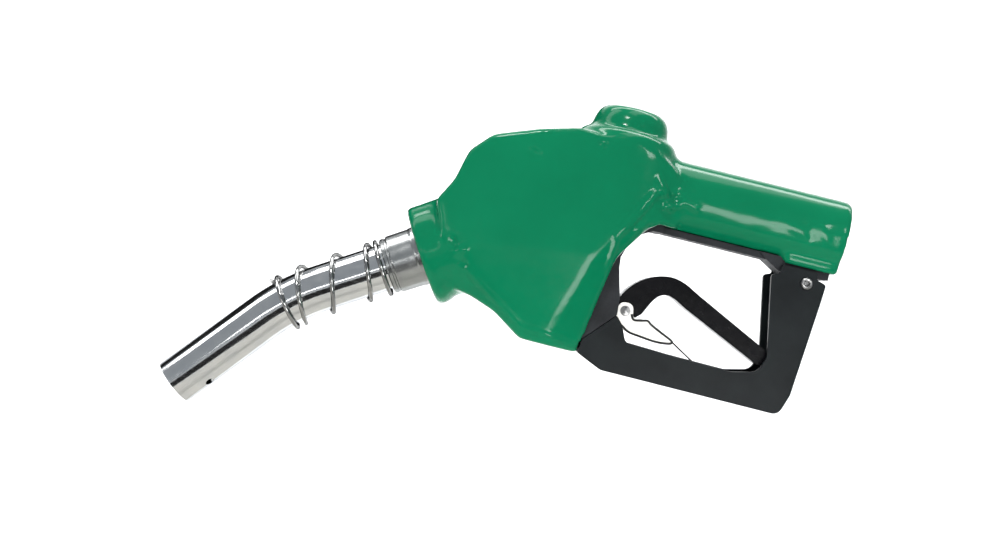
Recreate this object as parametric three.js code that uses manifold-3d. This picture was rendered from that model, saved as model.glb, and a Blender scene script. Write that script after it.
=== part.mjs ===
// Automatic shut-off fuel nozzle: grip, valve body, spout, lever, guard and the valve train inside.
// Millimetres. X runs along the grip and out of the hose inlet, Z is up, Y = 0 is the mid plane.
import * as THREE from 'three';
import { mergeVertices } from 'three/addons/utils/BufferGeometryUtils.js';
import Module from 'manifold-3d';

const wasm = await Module();
wasm.setup();

// ---- driving dimensions -------------------------------------------------------------------
const gap = 0.3;                    // clearance between neighbouring pieces
const coverWall = 2.0;              // wall of the soft cover
const gripRadius = 18.3;            // outside of the cover on the grip
const bodyHalfWidth = 26;           // outside of the cover at the valve body
const cheekHalfWidth = 19;          // outside of the cover at the lower cheeks
const guardHalfWidth = 13;          // outside of the lever guard
const leverHalfWidth = 7.5;
const inletRadius = 12.1;           // 3/4 in female pipe thread at its mouth
const boreRadius = 11;              // flow bore through the grip
const spoutRadius = 11.9;           // 15/16 in spout
const spoutWall = 1.6;
const mouthRadius = 24.6;           // cover's round mouth about the spout
const mainSeatRadius = 8;           // bore of the main valve seat
const slotHalfWidth = leverHalfWidth + 2.8;     // slot for the lever in the casting and guard
const slotCheek = slotHalfWidth - gap;
const sensingTubeRadius = 2.2;
const anchorWireRadius = 0.9;

// ---- where things stand -------------------------------------------------------------------
const point = (x, z, y = 0) => new THREE.Vector3(x, y, z);
const valveX = -117.5;                          // main valve axis, vertical
const fulcrum = point(-132, -72);               // lever pin, carried by the plunger
const plungerUp = point(-1, 2).normalize();     // plunger axis, leaning forward
const plungerSide = point(2, 1).normalize();
const mouth = point(-205.5, -60.5);             // centre of the mouth's face, on the spout axis
const spoutSlope = THREE.MathUtils.degToRad(32);
const tipSlope = THREE.MathUtils.degToRad(50);
const spoutIn = point(Math.cos(spoutSlope), Math.sin(spoutSlope));
const spoutOut = spoutIn.clone().negate();
const spoutTip = point(-312, -153.5);
const tipDirection = point(-Math.cos(tipSlope), -Math.sin(tipSlope));
const latchPin = point(-98.5, -62.7);
const alongPlunger = (s, w = 0) => fulcrum.clone().addScaledVector(plungerUp, s)
  .addScaledVector(plungerSide, w);
const alongSpout = (t) => mouth.clone().addScaledVector(spoutIn, t);

// ---- solids -------------------------------------------------------------------------------
function solidOf(geometry) {
  const plain = geometry.clone();
  plain.deleteAttribute('normal');
  plain.deleteAttribute('uv');
  const joined = mergeVertices(plain, 1e-4);
  const at = joined.attributes.position;
  const corners = [0, 1, 2].map(() => new THREE.Vector3());
  const kept = [];
  let volume = 0;
  for (let i = 0; i < joined.index.count; i += 3) {
    const [a, b, c] = [0, 1, 2].map((k) => joined.index.getX(i + k));
    if (a === b || b === c || c === a) continue;
    kept.push([a, b, c]);
    [a, b, c].forEach((n, k) => corners[k].fromBufferAttribute(at, n));
    volume += corners[0].dot(corners[1].clone().cross(corners[2]));
  }
  const facing = volume < 0 ? kept.map(([a, b, c]) => [a, c, b]) : kept;
  return new wasm.Manifold(new wasm.Mesh({
    numProp: 3,
    vertProperties: new Float32Array(at.array),
    triVerts: new Uint32Array(facing.flat()),
  }));
}

const joinAll = (solids) => solids.reduce((whole, next) => whole.add(next));

// The largest body of a solid, without crumbs that a cut may leave.
const largest = (solid) => solid.decompose().sort((a, b) => b.volume() - a.volume())[0];

// A turned solid: profile of [radius, height] pairs, its height axis laid along `direction`.
function turned(profile, at, direction, sides = 24) {
  const points = profile.map(([r, h]) => new THREE.Vector2(r, h));
  const geometry = new THREE.LatheGeometry(points, sides);
  const turn = new THREE.Quaternion().setFromUnitVectors(point(0, 0, 1), direction.clone().normalize());
  geometry.applyQuaternion(turn);
  geometry.translate(at.x, at.y, at.z);
  return solidOf(geometry);
}

const rod = (radius, from, to, sides = 24) => turned(
  [[0, 0], [radius, 0], [radius, to.distanceTo(from)], [0, to.distanceTo(from)]],
  from, to.clone().sub(from), sides);

const ring = (inner, outer, low, high, at, direction, sides = 24) => turned(
  [[inner, low], [outer, low], [outer, high], [inner, high], [inner, low]], at, direction, sides);

// A solid with the given side-view outline, centred on the mid plane, edges rounded by `round`.
function plate(outline, halfWidth, round = 0, grow = 0, steps = 2) {
  const shape = new THREE.Shape(outline.map(([x, z]) => new THREE.Vector2(x, z)));
  const geometry = new THREE.ExtrudeGeometry(shape, {
    depth: 2 * (halfWidth + grow - round),
    steps: 1,
    bevelEnabled: round > 0 || grow !== 0,
    bevelThickness: round,
    bevelSize: Math.max(round, 1e-3),
    bevelOffset: grow - Math.max(round, 1e-3),
    bevelSegments: steps,
  });
  geometry.translate(0, 0, -(halfWidth + grow - round));
  geometry.rotateX(Math.PI / 2);
  return solidOf(geometry);
}

function block(x0, x1, z0, z1, y0, y1) {
  const geometry = new THREE.BoxGeometry(x1 - x0, y1 - y0, z1 - z0);
  geometry.translate((x0 + x1) / 2, (y0 + y1) / 2, (z0 + z1) / 2);
  return solidOf(geometry);
}

// A round wire or tube laid along a curve.
function swept(curve, radius, steps, sides, bore = 0) {
  const shape = new THREE.Shape().absarc(0, 0, radius, 0, 2 * Math.PI);
  if (bore > 0) shape.holes.push(new THREE.Path().absarc(0, 0, bore, 0, 2 * Math.PI, true));
  const geometry = new THREE.ExtrudeGeometry(shape, {
    steps, curveSegments: sides / 2, bevelEnabled: false, extrudePath: curve,
  });
  return solidOf(geometry);
}

// A coil wound about a centre line: `axisAt(s)` gives the line's point and direction at length s.
// Its first and last `closed` turns lie nearly against each other.
class Coil extends THREE.Curve {
  constructor(radius, length, turns, axisAt, closed = 1.2, wire = 1) {
    super();
    Object.assign(this, { radius, length, turns, axisAt, closed, wire });
  }

  getPoint(u, target = new THREE.Vector3()) {
    const turn = u * this.turns;
    const pitch = this.wire * 1.25;
    const open = (this.length - 2 * this.closed * pitch) / (this.turns - 2 * this.closed);
    let s = turn * pitch;
    if (turn > this.closed) s = this.closed * pitch + (turn - this.closed) * open;
    if (turn > this.turns - this.closed) s = this.length - (this.turns - turn) * pitch;
    const { at, along } = this.axisAt(s);
    const across = new THREE.Vector3(0, 1, 0);
    const up = along.clone().cross(across);
    const angle = turn * 2 * Math.PI;
    return target.copy(at)
      .addScaledVector(across, this.radius * Math.cos(angle))
      .addScaledVector(up, this.radius * Math.sin(angle));
  }
}

function spring(meanRadius, wireRadius, turns, from, to) {
  const along = to.clone().sub(from).normalize();
  const axisAt = (s) => ({ at: from.clone().addScaledVector(along, s + wireRadius), along });
  const length = from.distanceTo(to) - 2 * wireRadius;
  const curve = new Coil(meanRadius, length, turns, axisAt, 1, 2 * wireRadius);
  return swept(curve, wireRadius, turns * 8, 4);
}

// ---- the outer form shared by the cover, its cavity and the casting -----------------------
const bodyOutline = [
  [-88, 16.2], [-143, 19.5], [-162, 14.5], [-184, 6.5], [-193.5, -4], [-198, -20], [-204, -32],
  [-188, -72], [-176, -74.5], [-163, -78.8], [-147, -89], [-117.5, -89.3], [-113.5, -60],
  [-110, -38], [-97, -18.5], [-88, -16.5],
];
const bellyOutline = [
  [-98, 13], [-140, 17], [-162, 12], [-182, 4.5], [-192, -6], [-196, -24], [-188, -46],
  [-168, -58], [-138, -57], [-118, -48], [-106, -18],
];

function mouthTube(grow) {
  const r = mouthRadius + grow;
  return turned([[0, -grow], [r, -grow], [r + 0.8, 30], [0, 30]], mouth, spoutIn, 28);
}

function capTower(grow) {
  const g = grow;
  return turned([
    [0, -12], [26.2 + g, -12], [26.2 + g, 19], [25.2 + g, 22.5 + g / 2], [22 + g, 25.3 + g],
    [19.4 + g, 26.6 + g], [18.6 + g, 30 + g], [16.6 + g, 34.4 + g], [13.6 + g, 36.8 + g],
    [9 + g, 37.8 + g], [0, 38 + g],
  ], point(valveX, 0), point(0, 1), 28);
}

function outerForm(grow, gripEnd) {
  return joinAll([
    rod(gripRadius + grow, point(-110, 0), point(gripEnd, 0), 32),
    plate(bodyOutline, cheekHalfWidth, 6, grow),
    plate(bellyOutline, bodyHalfWidth, bodyHalfWidth - cheekHalfWidth + 3, grow),
    mouthTube(grow),
    capTower(grow),
  ]);
}

const castingGrow = -coverWall - gap;

// The web and cheek of the casting left bare behind the cover, round the front of the opening.
const skirtOutline = [
  [-90, -13], [-90, -20.3], [-95, -20.5], [-100, -23.5], [-105, -29], [-107.5, -37],
  [-107, -42], [-105, -50], [-103, -57], [-102.4, -65.7], [-116.6, -81.4], [-119, -81.4],
  [-119, -30], [-104, -13],
];
const ribTop = -17.1;
const ribBottom = -20.3;
const ribHalfWidth = 8.5;
const webHalfWidth = 4.5;
const lugHalfWidth = slotCheek - 0.5;
const lugOutline = [
  [-40, ribTop], [-36, ribBottom], [-28, -24.8], [-24, -30], [-19, -33.5], [-11, -33.5],
  [-8.3, -30], [-8.3, -23.6], [-3.2, -23.4], [-3.2, -12], [-28, -12], [-28, ribTop],
];

// ---- soft cover ---------------------------------------------------------------------------
function scuffGuard() {
  const pad = block(-28, 0.5, -20.2, -10, -13, 13);
  let cover = outerForm(0, 0.8).add(pad);
  cover = cover.subtract(outerForm(-coverWall, 2));
  cover = cover.subtract(block(-95, -28, -30, ribTop + gap, -20, 20));
  cover = cover.subtract(block(-96, -27, -30, -8, -webHalfWidth - gap, webHalfWidth + gap));
  cover = cover.subtract(plate(lugOutline, lugHalfWidth + gap, 0, gap));
  cover = cover.subtract(plate(skirtOutline, guardHalfWidth + gap, 0, gap));
  cover = cover.subtract(block(-122, -110, -87.2, -80, -guardHalfWidth - gap, guardHalfWidth + gap));
  return cover.subtract(rod(15.8, alongSpout(-5), alongSpout(5)));
}

// ---- casting ------------------------------------------------------------------------------
const slotOutline = [
  [-131.5, -92], [-134, -83.7], [-145.2, -60.2], [-133.6, -54.2], [-128, -50], [-126, -46],
  [-109.3, -46], [-109.3, -36], [-105, -28], [-99, -22], [-80, -22], [-80, -92],
];
const passageOutline = [
  [-109.5, -13], [-109.5, -23], [-113.3, -36], [-122, -36], [-150, -44.5], [-165, -50],
  [-174, -40], [-165, -30], [-152, -23.5], [-140, -18.5], [-125, -13],
];
const sleeve = { floor: 17, chamber: 22, top: 57, radius: 10.5, bore: 5.2, chamberBore: 8.2 };
const diaphragmSeat = 60;           // height up the plunger axis where the diaphragm is clamped
const diaphragmRadius = 20.5;
const checkSeatAt = 34;             // depth of the check valve's seat behind the mouth
const tongueHalfWidth = slotCheek - 0.5;

function flowSpaces() {
  return joinAll([
    rod(inletRadius, point(-22.6, 0), point(3, 0)),
    rod(boreRadius, point(-104, 0), point(-20, 0)),
    rod(17.2, point(valveX, -9.5), point(valveX, 40)),
    rod(13.3, point(valveX, -14.3), point(valveX, 0)),
    rod(mainSeatRadius + 0.5, point(valveX, -24), point(valveX, -9)),
    plate(passageOutline, 15),
    rod(mainSeatRadius, alongSpout(checkSeatAt - 1), alongSpout(46)),
    rod(12.6, alongSpout(18), alongSpout(checkSeatAt)),
    rod(14.6, alongSpout(0), alongSpout(19)),
  ]);
}

function bodyCasting() {
  const clampedAbove = rod(24, alongPlunger(diaphragmSeat), alongPlunger(100));
  let body = outerForm(castingGrow, 0);
  body = body.add(plate(skirtOutline, guardHalfWidth));
  body = body.add(block(-97, -26, ribBottom, ribTop, -ribHalfWidth, ribHalfWidth));
  body = body.add(block(-97, -26, ribBottom, -8, -webHalfWidth, webHalfWidth));
  body = body.add(plate(lugOutline, lugHalfWidth));
  body = body.subtract(block(valveX - 30, valveX + 30, 18.7, 50, -30, 30));
  body = body.subtract(clampedAbove).subtract(flowSpaces());
  body = body.add(rod(sleeve.radius, alongPlunger(18), alongPlunger(sleeve.top)));
  body = body.subtract(rod(15, alongPlunger(56.5), alongPlunger(diaphragmSeat + 1)));
  body = body.subtract(rod(sleeve.bore, alongPlunger(8), alongPlunger(sleeve.chamber + 1), 24));
  body = body.subtract(rod(sleeve.chamberBore, alongPlunger(sleeve.chamber), alongPlunger(58), 24));
  body = body.subtract(plate(slotOutline, slotHalfWidth));
  body = body.subtract(block(-143, -100, -95, -83.6, -slotHalfWidth, slotHalfWidth));
  body = body.subtract(rod(3.1, point(valveX, -60), point(valveX, -30), 24));
  body = body.subtract(rod(6.8, point(valveX, -60), point(valveX, -39), 24));
  for (const side of [-1, 1]) {
    const at = point(screwX, -90, 5.5 * side);
    body = body.subtract(rod(2.1, at, point(screwX, -76.5, 5.5 * side), 16));
  }
  for (const [y, w] of diaphragmScrewPlaces()) {
    const at = alongPlunger(diaphragmSeat + 2, w);
    at.y = y;
    const end = alongPlunger(diaphragmSeat - 8, w);
    end.y = y;
    body = body.subtract(rod(1.8, at, end, 12));
  }
  return body.subtract(rod(2.3, point(-14, -27.5, -20), point(-14, -27.5, 20), 20));
}

function diaphragmScrewPlaces() {
  return [0, 1, 2, 3].map((n) => {
    const angle = Math.PI / 4 + n * Math.PI / 2;
    return [17.8 * Math.cos(angle), 17.8 * Math.sin(angle)];
  });
}

// ---- cap, main valve and inlet ------------------------------------------------------------
const capSeatZ = 20.1;
const capUnderside = 28.3;

function valveCap() {
  const g = castingGrow;
  return turned([
    [0, capUnderside], [13.4, capUnderside], [13.4, 11], [16.9, 11], [16.9, capSeatZ],
    [22.7, capSeatZ], [22.7, 20.8], [21.8 + g, 24.2 + g], [19.2 + g, 26.2 + g], [18.4 + g, 30 + g],
    [16.6 + g, 34.4 + g],
    [13.6 + g, 36.8 + g], [9 + g, 37.8 + g], [0, 38 + g],
  ], point(valveX, 0), point(0, 1), 24);
}

const capSeal = () => ring(17.3, 22, 18.9, 19.9, point(valveX, 0), point(0, 1), 24);
const seatRing = () => turned([
  [mainSeatRadius, -14.1], [13, -14.1], [13, -9.7], [mainSeatRadius + 2.2, -9.7],
  [mainSeatRadius + 1.2, -9], [mainSeatRadius, -9.6], [mainSeatRadius, -14.1],
], point(valveX, 0), point(0, 1), 24);

const stemRadius = 2.5;
const stemFoot = -62;
const poppetDisc = () => ring(stemRadius + gap, 11, -8.7, -5.9, point(valveX, 0), point(0, 1), 24);
const poppetHolder = () => turned([
  [stemRadius + gap, -5.6], [12.2, -5.6], [12.2, -3.4], [8.2, -2.6], [8.2, 0],
  [stemRadius + gap, 0], [stemRadius + gap, -5.6],
], point(valveX, 0), point(0, 1), 24);
const valveStem = () => turned([
  [0, stemFoot], [3.3, stemFoot], [3.3, stemFoot + 2.4], [stemRadius, stemFoot + 3.4],
  [stemRadius, 0.4], [4.5, 0.4], [4.5, 2.6], [0, 2.6],
], point(valveX, 0), point(0, 1), 20);
const mainSpring = () => spring(9.9, 0.95, 6, point(valveX, -2), point(valveX, capUnderside - 0.4));
const stemPacking = () => ring(stemRadius + gap, 6.4, -42.6, -39.4, point(valveX, 0), point(0, 1), 20);
const packingNut = () => ring(stemRadius + gap, 6.4, -48.6, -43, point(valveX, 0), point(0, 1), 6)
  .intersect(ring(stemRadius + gap, 6.4, -48.6, -43, point(valveX, 0), point(0, 1), 24));

function inletStrainer() {
  let cone = turned([
    [11.6, -20.4], [9, -20.4], [3.2, -57], [0, -57], [0, -58], [4.2, -58], [10.1, -22.2],
    [11.6, -22.2], [11.6, -20.4],
  ], point(0, 0), point(1, 0), 24);
  for (let n = 0; n < 3; n += 1) {
    const angle = n * Math.PI / 3;
    const slot = new THREE.BoxGeometry(24, 40, 2.2);
    slot.rotateX(angle);
    slot.translate(-39, 0, 0);
    cone = cone.subtract(solidOf(slot));
  }
  return cone;
}

// ---- spout --------------------------------------------------------------------------------
// The spout's centre line: straight from the bushing, one bend, straight to the tip.
function spoutLine(start, side = 0) {
  const legs = (spoutTip.x - mouth.x) * tipDirection.z - (spoutTip.z - mouth.z) * tipDirection.x;
  const toCorner = legs / (spoutOut.x * tipDirection.z - spoutOut.z * tipDirection.x);
  const corner = mouth.clone().addScaledVector(spoutOut, toCorner);
  const half = (tipSlope - spoutSlope) / 2;
  const bendRadius = 110;
  const cut = bendRadius * Math.tan(half);
  const down = spoutOut.clone().cross(point(0, 0, 1));
  const centre = corner.clone().addScaledVector(spoutOut, -cut).addScaledVector(down, bendRadius);
  const first = toCorner - cut - start;
  const arc = bendRadius * 2 * half;
  const last = corner.distanceTo(spoutTip) - cut;
  const length = first + arc + last;
  const axisAt = (s) => {
    if (s <= first) {
      return { at: mouth.clone().addScaledVector(spoutOut, start + s), along: spoutOut.clone() };
    }
    const angle = Math.min((s - first) / bendRadius, 2 * half);
    const turn = new THREE.Quaternion().setFromAxisAngle(point(0, 0, 1), -angle);
    const along = spoutOut.clone().applyQuaternion(turn);
    const out = down.clone().applyQuaternion(turn);
    const at = centre.clone().addScaledVector(out, -bendRadius);
    return { at: at.addScaledVector(along, Math.max(0, s - first - arc)), along };
  };
  const curve = new THREE.Curve();
  curve.getPoint = (u, target = new THREE.Vector3()) => {
    const { at, along } = axisAt(u * length);
    return target.copy(at).addScaledVector(along.clone().cross(point(0, 0, 1)), side);
  };
  return { curve, axisAt, length };
}

function spoutTube() {
  const line = spoutLine(-12);
  const tube = swept(line.curve, spoutRadius, 16, 28, spoutRadius - spoutWall);
  const port = line.axisAt(line.length - 15.7);
  const down = port.along.clone().cross(point(0, 0, 1));
  return tube.subtract(rod(2.6, port.at, port.at.clone().addScaledVector(down, 2 * spoutRadius), 16));
}

function sensingTube() {
  const line = spoutLine(-14, spoutRadius - spoutWall - sensingTubeRadius - 1.7);
  const shorter = new THREE.Curve();
  const used = (line.length - 15.7) / line.length;
  shorter.getPoint = (u, target) => line.curve.getPoint(u * used, target);
  return swept(shorter, sensingTubeRadius, 14, 8, 1.3);
}

const spoutBushing = () => turned([
  [spoutRadius + gap, 17], [13.2, 17], [14.2, 15.6], [14.2, 1], [15.2, 0.6], [15.2, -2.2],
  [14.6, -3], [14.3, -14.5], [13.6, -18.2], [spoutRadius + gap, -18.2], [spoutRadius + gap, 17],
], mouth, spoutIn, 36);
const spoutSeal = () => ring(spoutRadius + 0.5, 14.2, 17.3, 18.4, mouth, spoutIn, 28);

function anchorSpring() {
  const line = spoutLine(19.7);
  const axisAt = (s) => line.axisAt(s);
  const meanRadius = spoutRadius + anchorWireRadius + 1;
  const curve = new Coil(meanRadius, 53.5, 5.5, axisAt, 1.15, 2 * anchorWireRadius);
  return swept(curve, anchorWireRadius, 78, 6);
}

const checkPoppet = () => turned([
  [0, checkSeatAt - 3.6], [4, checkSeatAt - 3.6], [10.4, checkSeatAt - 3.2],
  [10.4, checkSeatAt - 0.9], [mainSeatRadius - 0.4, checkSeatAt - 0.4], [0, checkSeatAt + 1.5],
], mouth, spoutIn, 20);
const checkStop = () => ring(3.4, 12, 19, 21.4, mouth, spoutIn, 28)
  .subtract(joinAll([0, 1, 2].map((n) => {
    const place = new THREE.CylinderGeometry(2, 2, 8, 12);
    place.translate(7.8, 0, 0);
    place.rotateY(n * 2 * Math.PI / 3);
    place.applyQuaternion(new THREE.Quaternion().setFromUnitVectors(point(0, 0, 1), spoutIn));
    const at = alongSpout(20);
    place.translate(at.x, at.y, at.z);
    return solidOf(place);
  })));
const checkSpring = () => spring(4.9, 0.5, 4, alongSpout(21.7), alongSpout(checkSeatAt - 3.9));

// ---- shut-off train -----------------------------------------------------------------------
const ballAt = 48;
const latchPinRadius = 2;
const ballRadius = 1.8;

function plunger() {
  const collarTop = 42;
  const shaft = turned([
    [0, 13], [4.9, 13], [4.9, 22], [4.6, 22.5], [4.6, 39], [7.6, 39], [7.6, collarTop],
    [5, collarTop], [5, 54], [0, 54],
  ], fulcrum, plungerUp, 24);
  const bore = rod(latchPinRadius + gap, alongPlunger(44), alongPlunger(56), 16);
  const clevis = plate([
    [-5.5, -3], [-3, -5.5], [3, -5.5], [5.5, -3], [5.5, 15.5], [-5.5, 15.5],
  ].map(([w, s]) => {
    const at = alongPlunger(s, w);
    return [at.x, at.z];
  }), slotCheek);
  const space = plate([[-8, -8], [8, -8], [8, 9.5], [-8, 9.5]].map(([w, s]) => {
    const at = alongPlunger(s, w);
    return [at.x, at.z];
  }), leverHalfWidth + gap);
  let whole = shaft.add(clevis).subtract(space).subtract(bore);
  whole = whole.subtract(rod(2.5, fulcrum.clone().setY(-20), fulcrum.clone().setY(20), 20));
  for (const place of ballPlaces()) {
    const from = alongPlunger(ballAt);
    const to = place.clone().sub(from).multiplyScalar(2).add(from);
    whole = whole.subtract(rod(ballRadius + gap, from, to, 12));
  }
  return whole;
}

function ballPlaces() {
  const reach = latchPinRadius + 0.2 + ballRadius;
  return [0, 1, 2].map((n) => {
    const angle = n * 2 * Math.PI / 3;
    const at = alongPlunger(ballAt, reach * Math.cos(angle));
    at.y = reach * Math.sin(angle);
    return at;
  });
}

function latchBall(at) {
  const geometry = new THREE.SphereGeometry(ballRadius, 10, 8);
  geometry.translate(at.x, at.y, at.z);
  return solidOf(geometry);
}

const plungerInsert = () => turned([
  [6.3, 43], [7.9, 43], [7.9, 56], [5.3, 56], [5.3, 51.5], [6.3, 50.5], [6.3, 43],
], fulcrum, plungerUp, 24);
const plungerSpring = () => spring(6.3, 0.55, 6, alongPlunger(22.2), alongPlunger(38.8));
const fulcrumPin = () => rod(2.2, fulcrum.clone().setY(-slotCheek), fulcrum.clone().setY(slotCheek), 20);

const diaphragm = () => ring(latchPinRadius + gap, diaphragmRadius, diaphragmSeat + 0.3,
  diaphragmSeat + 1.2, fulcrum, plungerUp, 24).subtract(diaphragmScrewHoles());
const trippingPin = () => turned([
  [0, 45], [latchPinRadius, 45.6], [latchPinRadius, 58.4], [7, 58.4], [7, 59.9],
  [latchPinRadius, 59.9], [latchPinRadius, 61.6], [7, 61.6], [7, 63], [0, 63],
], fulcrum, plungerUp, 20);
const diaphragmSpring = () => spring(4.6, 0.5, 5, alongPlunger(63.3), alongPlunger(75.4));

function diaphragmScrewHoles() {
  return joinAll(diaphragmScrewPlaces().map(([y, w]) => {
    const low = alongPlunger(diaphragmSeat - 1, w);
    const high = alongPlunger(diaphragmSeat + 12, w);
    low.y = y;
    high.y = y;
    return rod(2, low, high, 12);
  }));
}

const diaphragmCap = () => turned([
  [15, 61.5], [20.5, 61.5], [20.5, 64.4], [14.2, 64.4], [12.6, 74], [8, 78.2], [0, 78.8],
  [0, 75.8], [6.6, 75.8], [9.4, 71], [12, 63.2], [15, 61.5],
], fulcrum, plungerUp, 24).subtract(diaphragmScrewHoles());

function diaphragmScrew([y, w]) {
  const at = fulcrum.clone().addScaledVector(plungerSide, w);
  at.y = y;
  return turned([
    [0, 54], [1.5, 54], [1.5, 64.7], [2.9, 64.7], [2.9, 66.6], [2.4, 67.2], [0, 67.2],
  ], at, plungerUp, 12);
}

// ---- guard --------------------------------------------------------------------------------
const guardOutline = [
  [-117.2, -88.8], [-112, -91], [-105, -94], [-98, -95], [-15, -95], [-10.5, -92.4],
  [-8.5, -85], [-4.8, -35], [-4.3, -28], [-5.6, -25.2], [-9.3, -24.4], [-9.6, -21],
  [-27.6, -21], [-28.4, -25.6], [-31.6, -27], [-32, -29], [-24.6, -66], [-26.2, -73.6],
  [-31, -78], [-45, -79.4], [-60, -79], [-94, -77.6], [-97, -76], [-99, -70], [-102.2, -66.1],
  [-116.4, -81.7],
];
const guardFloor = -92;
const guardSpace = [
  [-121, -83.9], [-113.5, -86.2], [-104.5, -91], [-98, guardFloor], [-17, guardFloor], [-13.4, -90.4],
  [-11.5, -84.6], [-7.9, -36], [-7.9, -15], [-60, -15], [-121, -60],
];
const rackSteps = [-97, -90, -83];
const screwX = -139;

function leverGuard() {
  const band = plate(guardOutline, guardHalfWidth, 1.2, 0, 1);
  const space = plate(guardSpace, slotHalfWidth);
  const tongue = block(-142.6, -112, -86.3, -83.9, -tongueHalfWidth, tongueHalfWidth);
  let guard = band.subtract(space).add(tongue);
  for (const x of rackSteps) {
    guard = guard.add(plate([[x, guardFloor - 1], [x, guardFloor + 2.6], [x + 1.2, guardFloor + 2.6],
      [x + 5, guardFloor - 1]], slotHalfWidth - 3));
  }
  for (const side of [-1, 1]) {
    const low = point(screwX, -88, 5.5 * side);
    guard = guard.subtract(rod(2.1, low, point(screwX, -80, 5.5 * side), 16));
    guard = guard.subtract(rod(2.9, low, point(screwX, -85.2, 5.5 * side), 16));
  }
  return guard.subtract(rod(2.5, point(-14, -27.5, -20), point(-14, -27.5, 20), 20));
}

const guardFrontScrew = (side) => turned([
  [0, -86.2], [2.6, -86.2], [2.6, -85.5], [1.8, -85.4], [1.8, -77], [0, -77],
], point(screwX, 0, 5.5 * side), point(0, 1), 16);

const guardRearScrew = () => turned([
  [0, -12], [1.3, -12], [1.3, -14.6], [2.4, -14.8], [2.9, -14.3], [2.9, -13.3], [1.9, -13.3],
  [1.9, 16.2], [0, 16.2],
], point(-14, -27.5), point(0, 0, 1), 24);
const guardRearNut = () => ring(2.3, 4, 13.3, 15.8, point(-14, -27.5), point(0, 0, 1), 6);

// ---- lever and hold-open latch ------------------------------------------------------------
const leverOutline = [
  [-103.2, -57.6], [-97, -48], [-92, -44.5], [-86, -42], [-80, -41], [-74, -41.8], [-60, -48.5],
  [-25, -65], [-23, -67.2], [-23.6, -71.4], [-26.4, -73.4], [-45, -65.2], [-70, -54],
  [-76, -51], [-80.4, -50.2], [-84, -52], [-87, -56.4], [-90, -62.4], [-94.4, -66.4],
  [-99, -67.2], [-106, -73.4], [-118, -74.6], [-131, -77], [-135, -73], [-132, -66.8],
  [-120, -65.4], [-113, -66.4], [-109, -66.4], [-106, -63.4],
];

function lever() {
  let arm = plate(leverOutline, leverHalfWidth, 1.4, 0, 2);
  const pad = point(valveX, -68);
  arm = arm.add(rod(5.6, pad.clone().setY(-leverHalfWidth), pad.clone().setY(leverHalfWidth), 20));
  arm = arm.add(rod(5.5, fulcrum.clone().setY(-leverHalfWidth), fulcrum.clone().setY(leverHalfWidth), 20));
  arm = arm.subtract(rod(2.5, fulcrum.clone().setY(-20), fulcrum.clone().setY(20), 20));
  return arm.subtract(rod(2.3, latchPin.clone().setY(-20), latchPin.clone().setY(20), 16));
}

const latchHalfWidth = leverHalfWidth + gap + 1.5;
const latchOutline = [
  [-102.4, -62.7], [-101.4, -59.8], [-98.5, -58.6], [-95.4, -60], [-94, -64.4], [-90.6, -65.6],
  [-88, -64.6], [-85, -66], [-80, -68.4], [-72.6, -71], [-72.6, -73.2], [-80, -74.4],
  [-90, -73.4], [-95, -72.8], [-98, -70.4], [-101.4, -66],
];
const latchInside = [
  [-110, -50], [-110, -76], [-95.6, -76], [-94.6, -71.3], [-90, -72], [-80, -73], [-76, -72.7],
  [-76, -50],
];

function holdOpenLatch() {
  let strap = plate(latchOutline, latchHalfWidth).subtract(plate(latchInside, leverHalfWidth + gap));
  strap = strap.subtract(block(-90, -70, -70.6, -60, 2, 4));
  return strap.subtract(rod(2.2, latchPin.clone().setY(-20), latchPin.clone().setY(20), 16));
}

const latchRivet = () => rod(1.9, latchPin.clone().setY(-latchHalfWidth - 0.3),
  latchPin.clone().setY(latchHalfWidth + 0.3), 16);

function latchSpring() {
  const curve = new THREE.CatmullRomCurve3([
    point(-90, -69.6, 3), point(-84, -68.4, 3), point(-77, -69.2, 3), point(-72, -69.6, 3),
    point(-70.4, -73.4, 3), point(-65, -76.3, 3), point(-59, -79, 3),
  ]);
  return swept(curve, 0.45, 20, 6);
}

// ---- assembly -----------------------------------------------------------------------------
const green = [0x12805a, 0.3, 0];
const blackCasting = [0x3c3436, 0.6, 0.1];
const blackLever = [0x161619, 0.25, 0];
const guardBlack = [0x2b3033, 0.45, 0];
const brightSteel = [0xd8d6d0, 0.2, 1];
const plainSteel = [0xa9a8a4, 0.35, 1];
const brass = [0xb59a55, 0.35, 1];
const rubber = [0x1c1c1c, 0.8, 0];
const greyMetal = [0x8f9090, 0.45, 1];

const nozzle = new THREE.Group();
nozzle.name = 'fuel_nozzle';

function addPart(name, solid, [colour, roughness, metalness], parent = nozzle) {
  const made = largest(solid.asOriginal().simplify(0.07)).getMesh();
  const geometry = new THREE.BufferGeometry();
  geometry.setAttribute('position', new THREE.BufferAttribute(new Float32Array(made.vertProperties), 3));
  geometry.setIndex(new THREE.BufferAttribute(new Uint32Array(made.triVerts), 1));
  const mesh = new THREE.Mesh(geometry, new THREE.MeshStandardMaterial({
    color: colour, roughness, metalness,
  }));
  mesh.name = name;
  parent.add(mesh);
}

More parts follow.
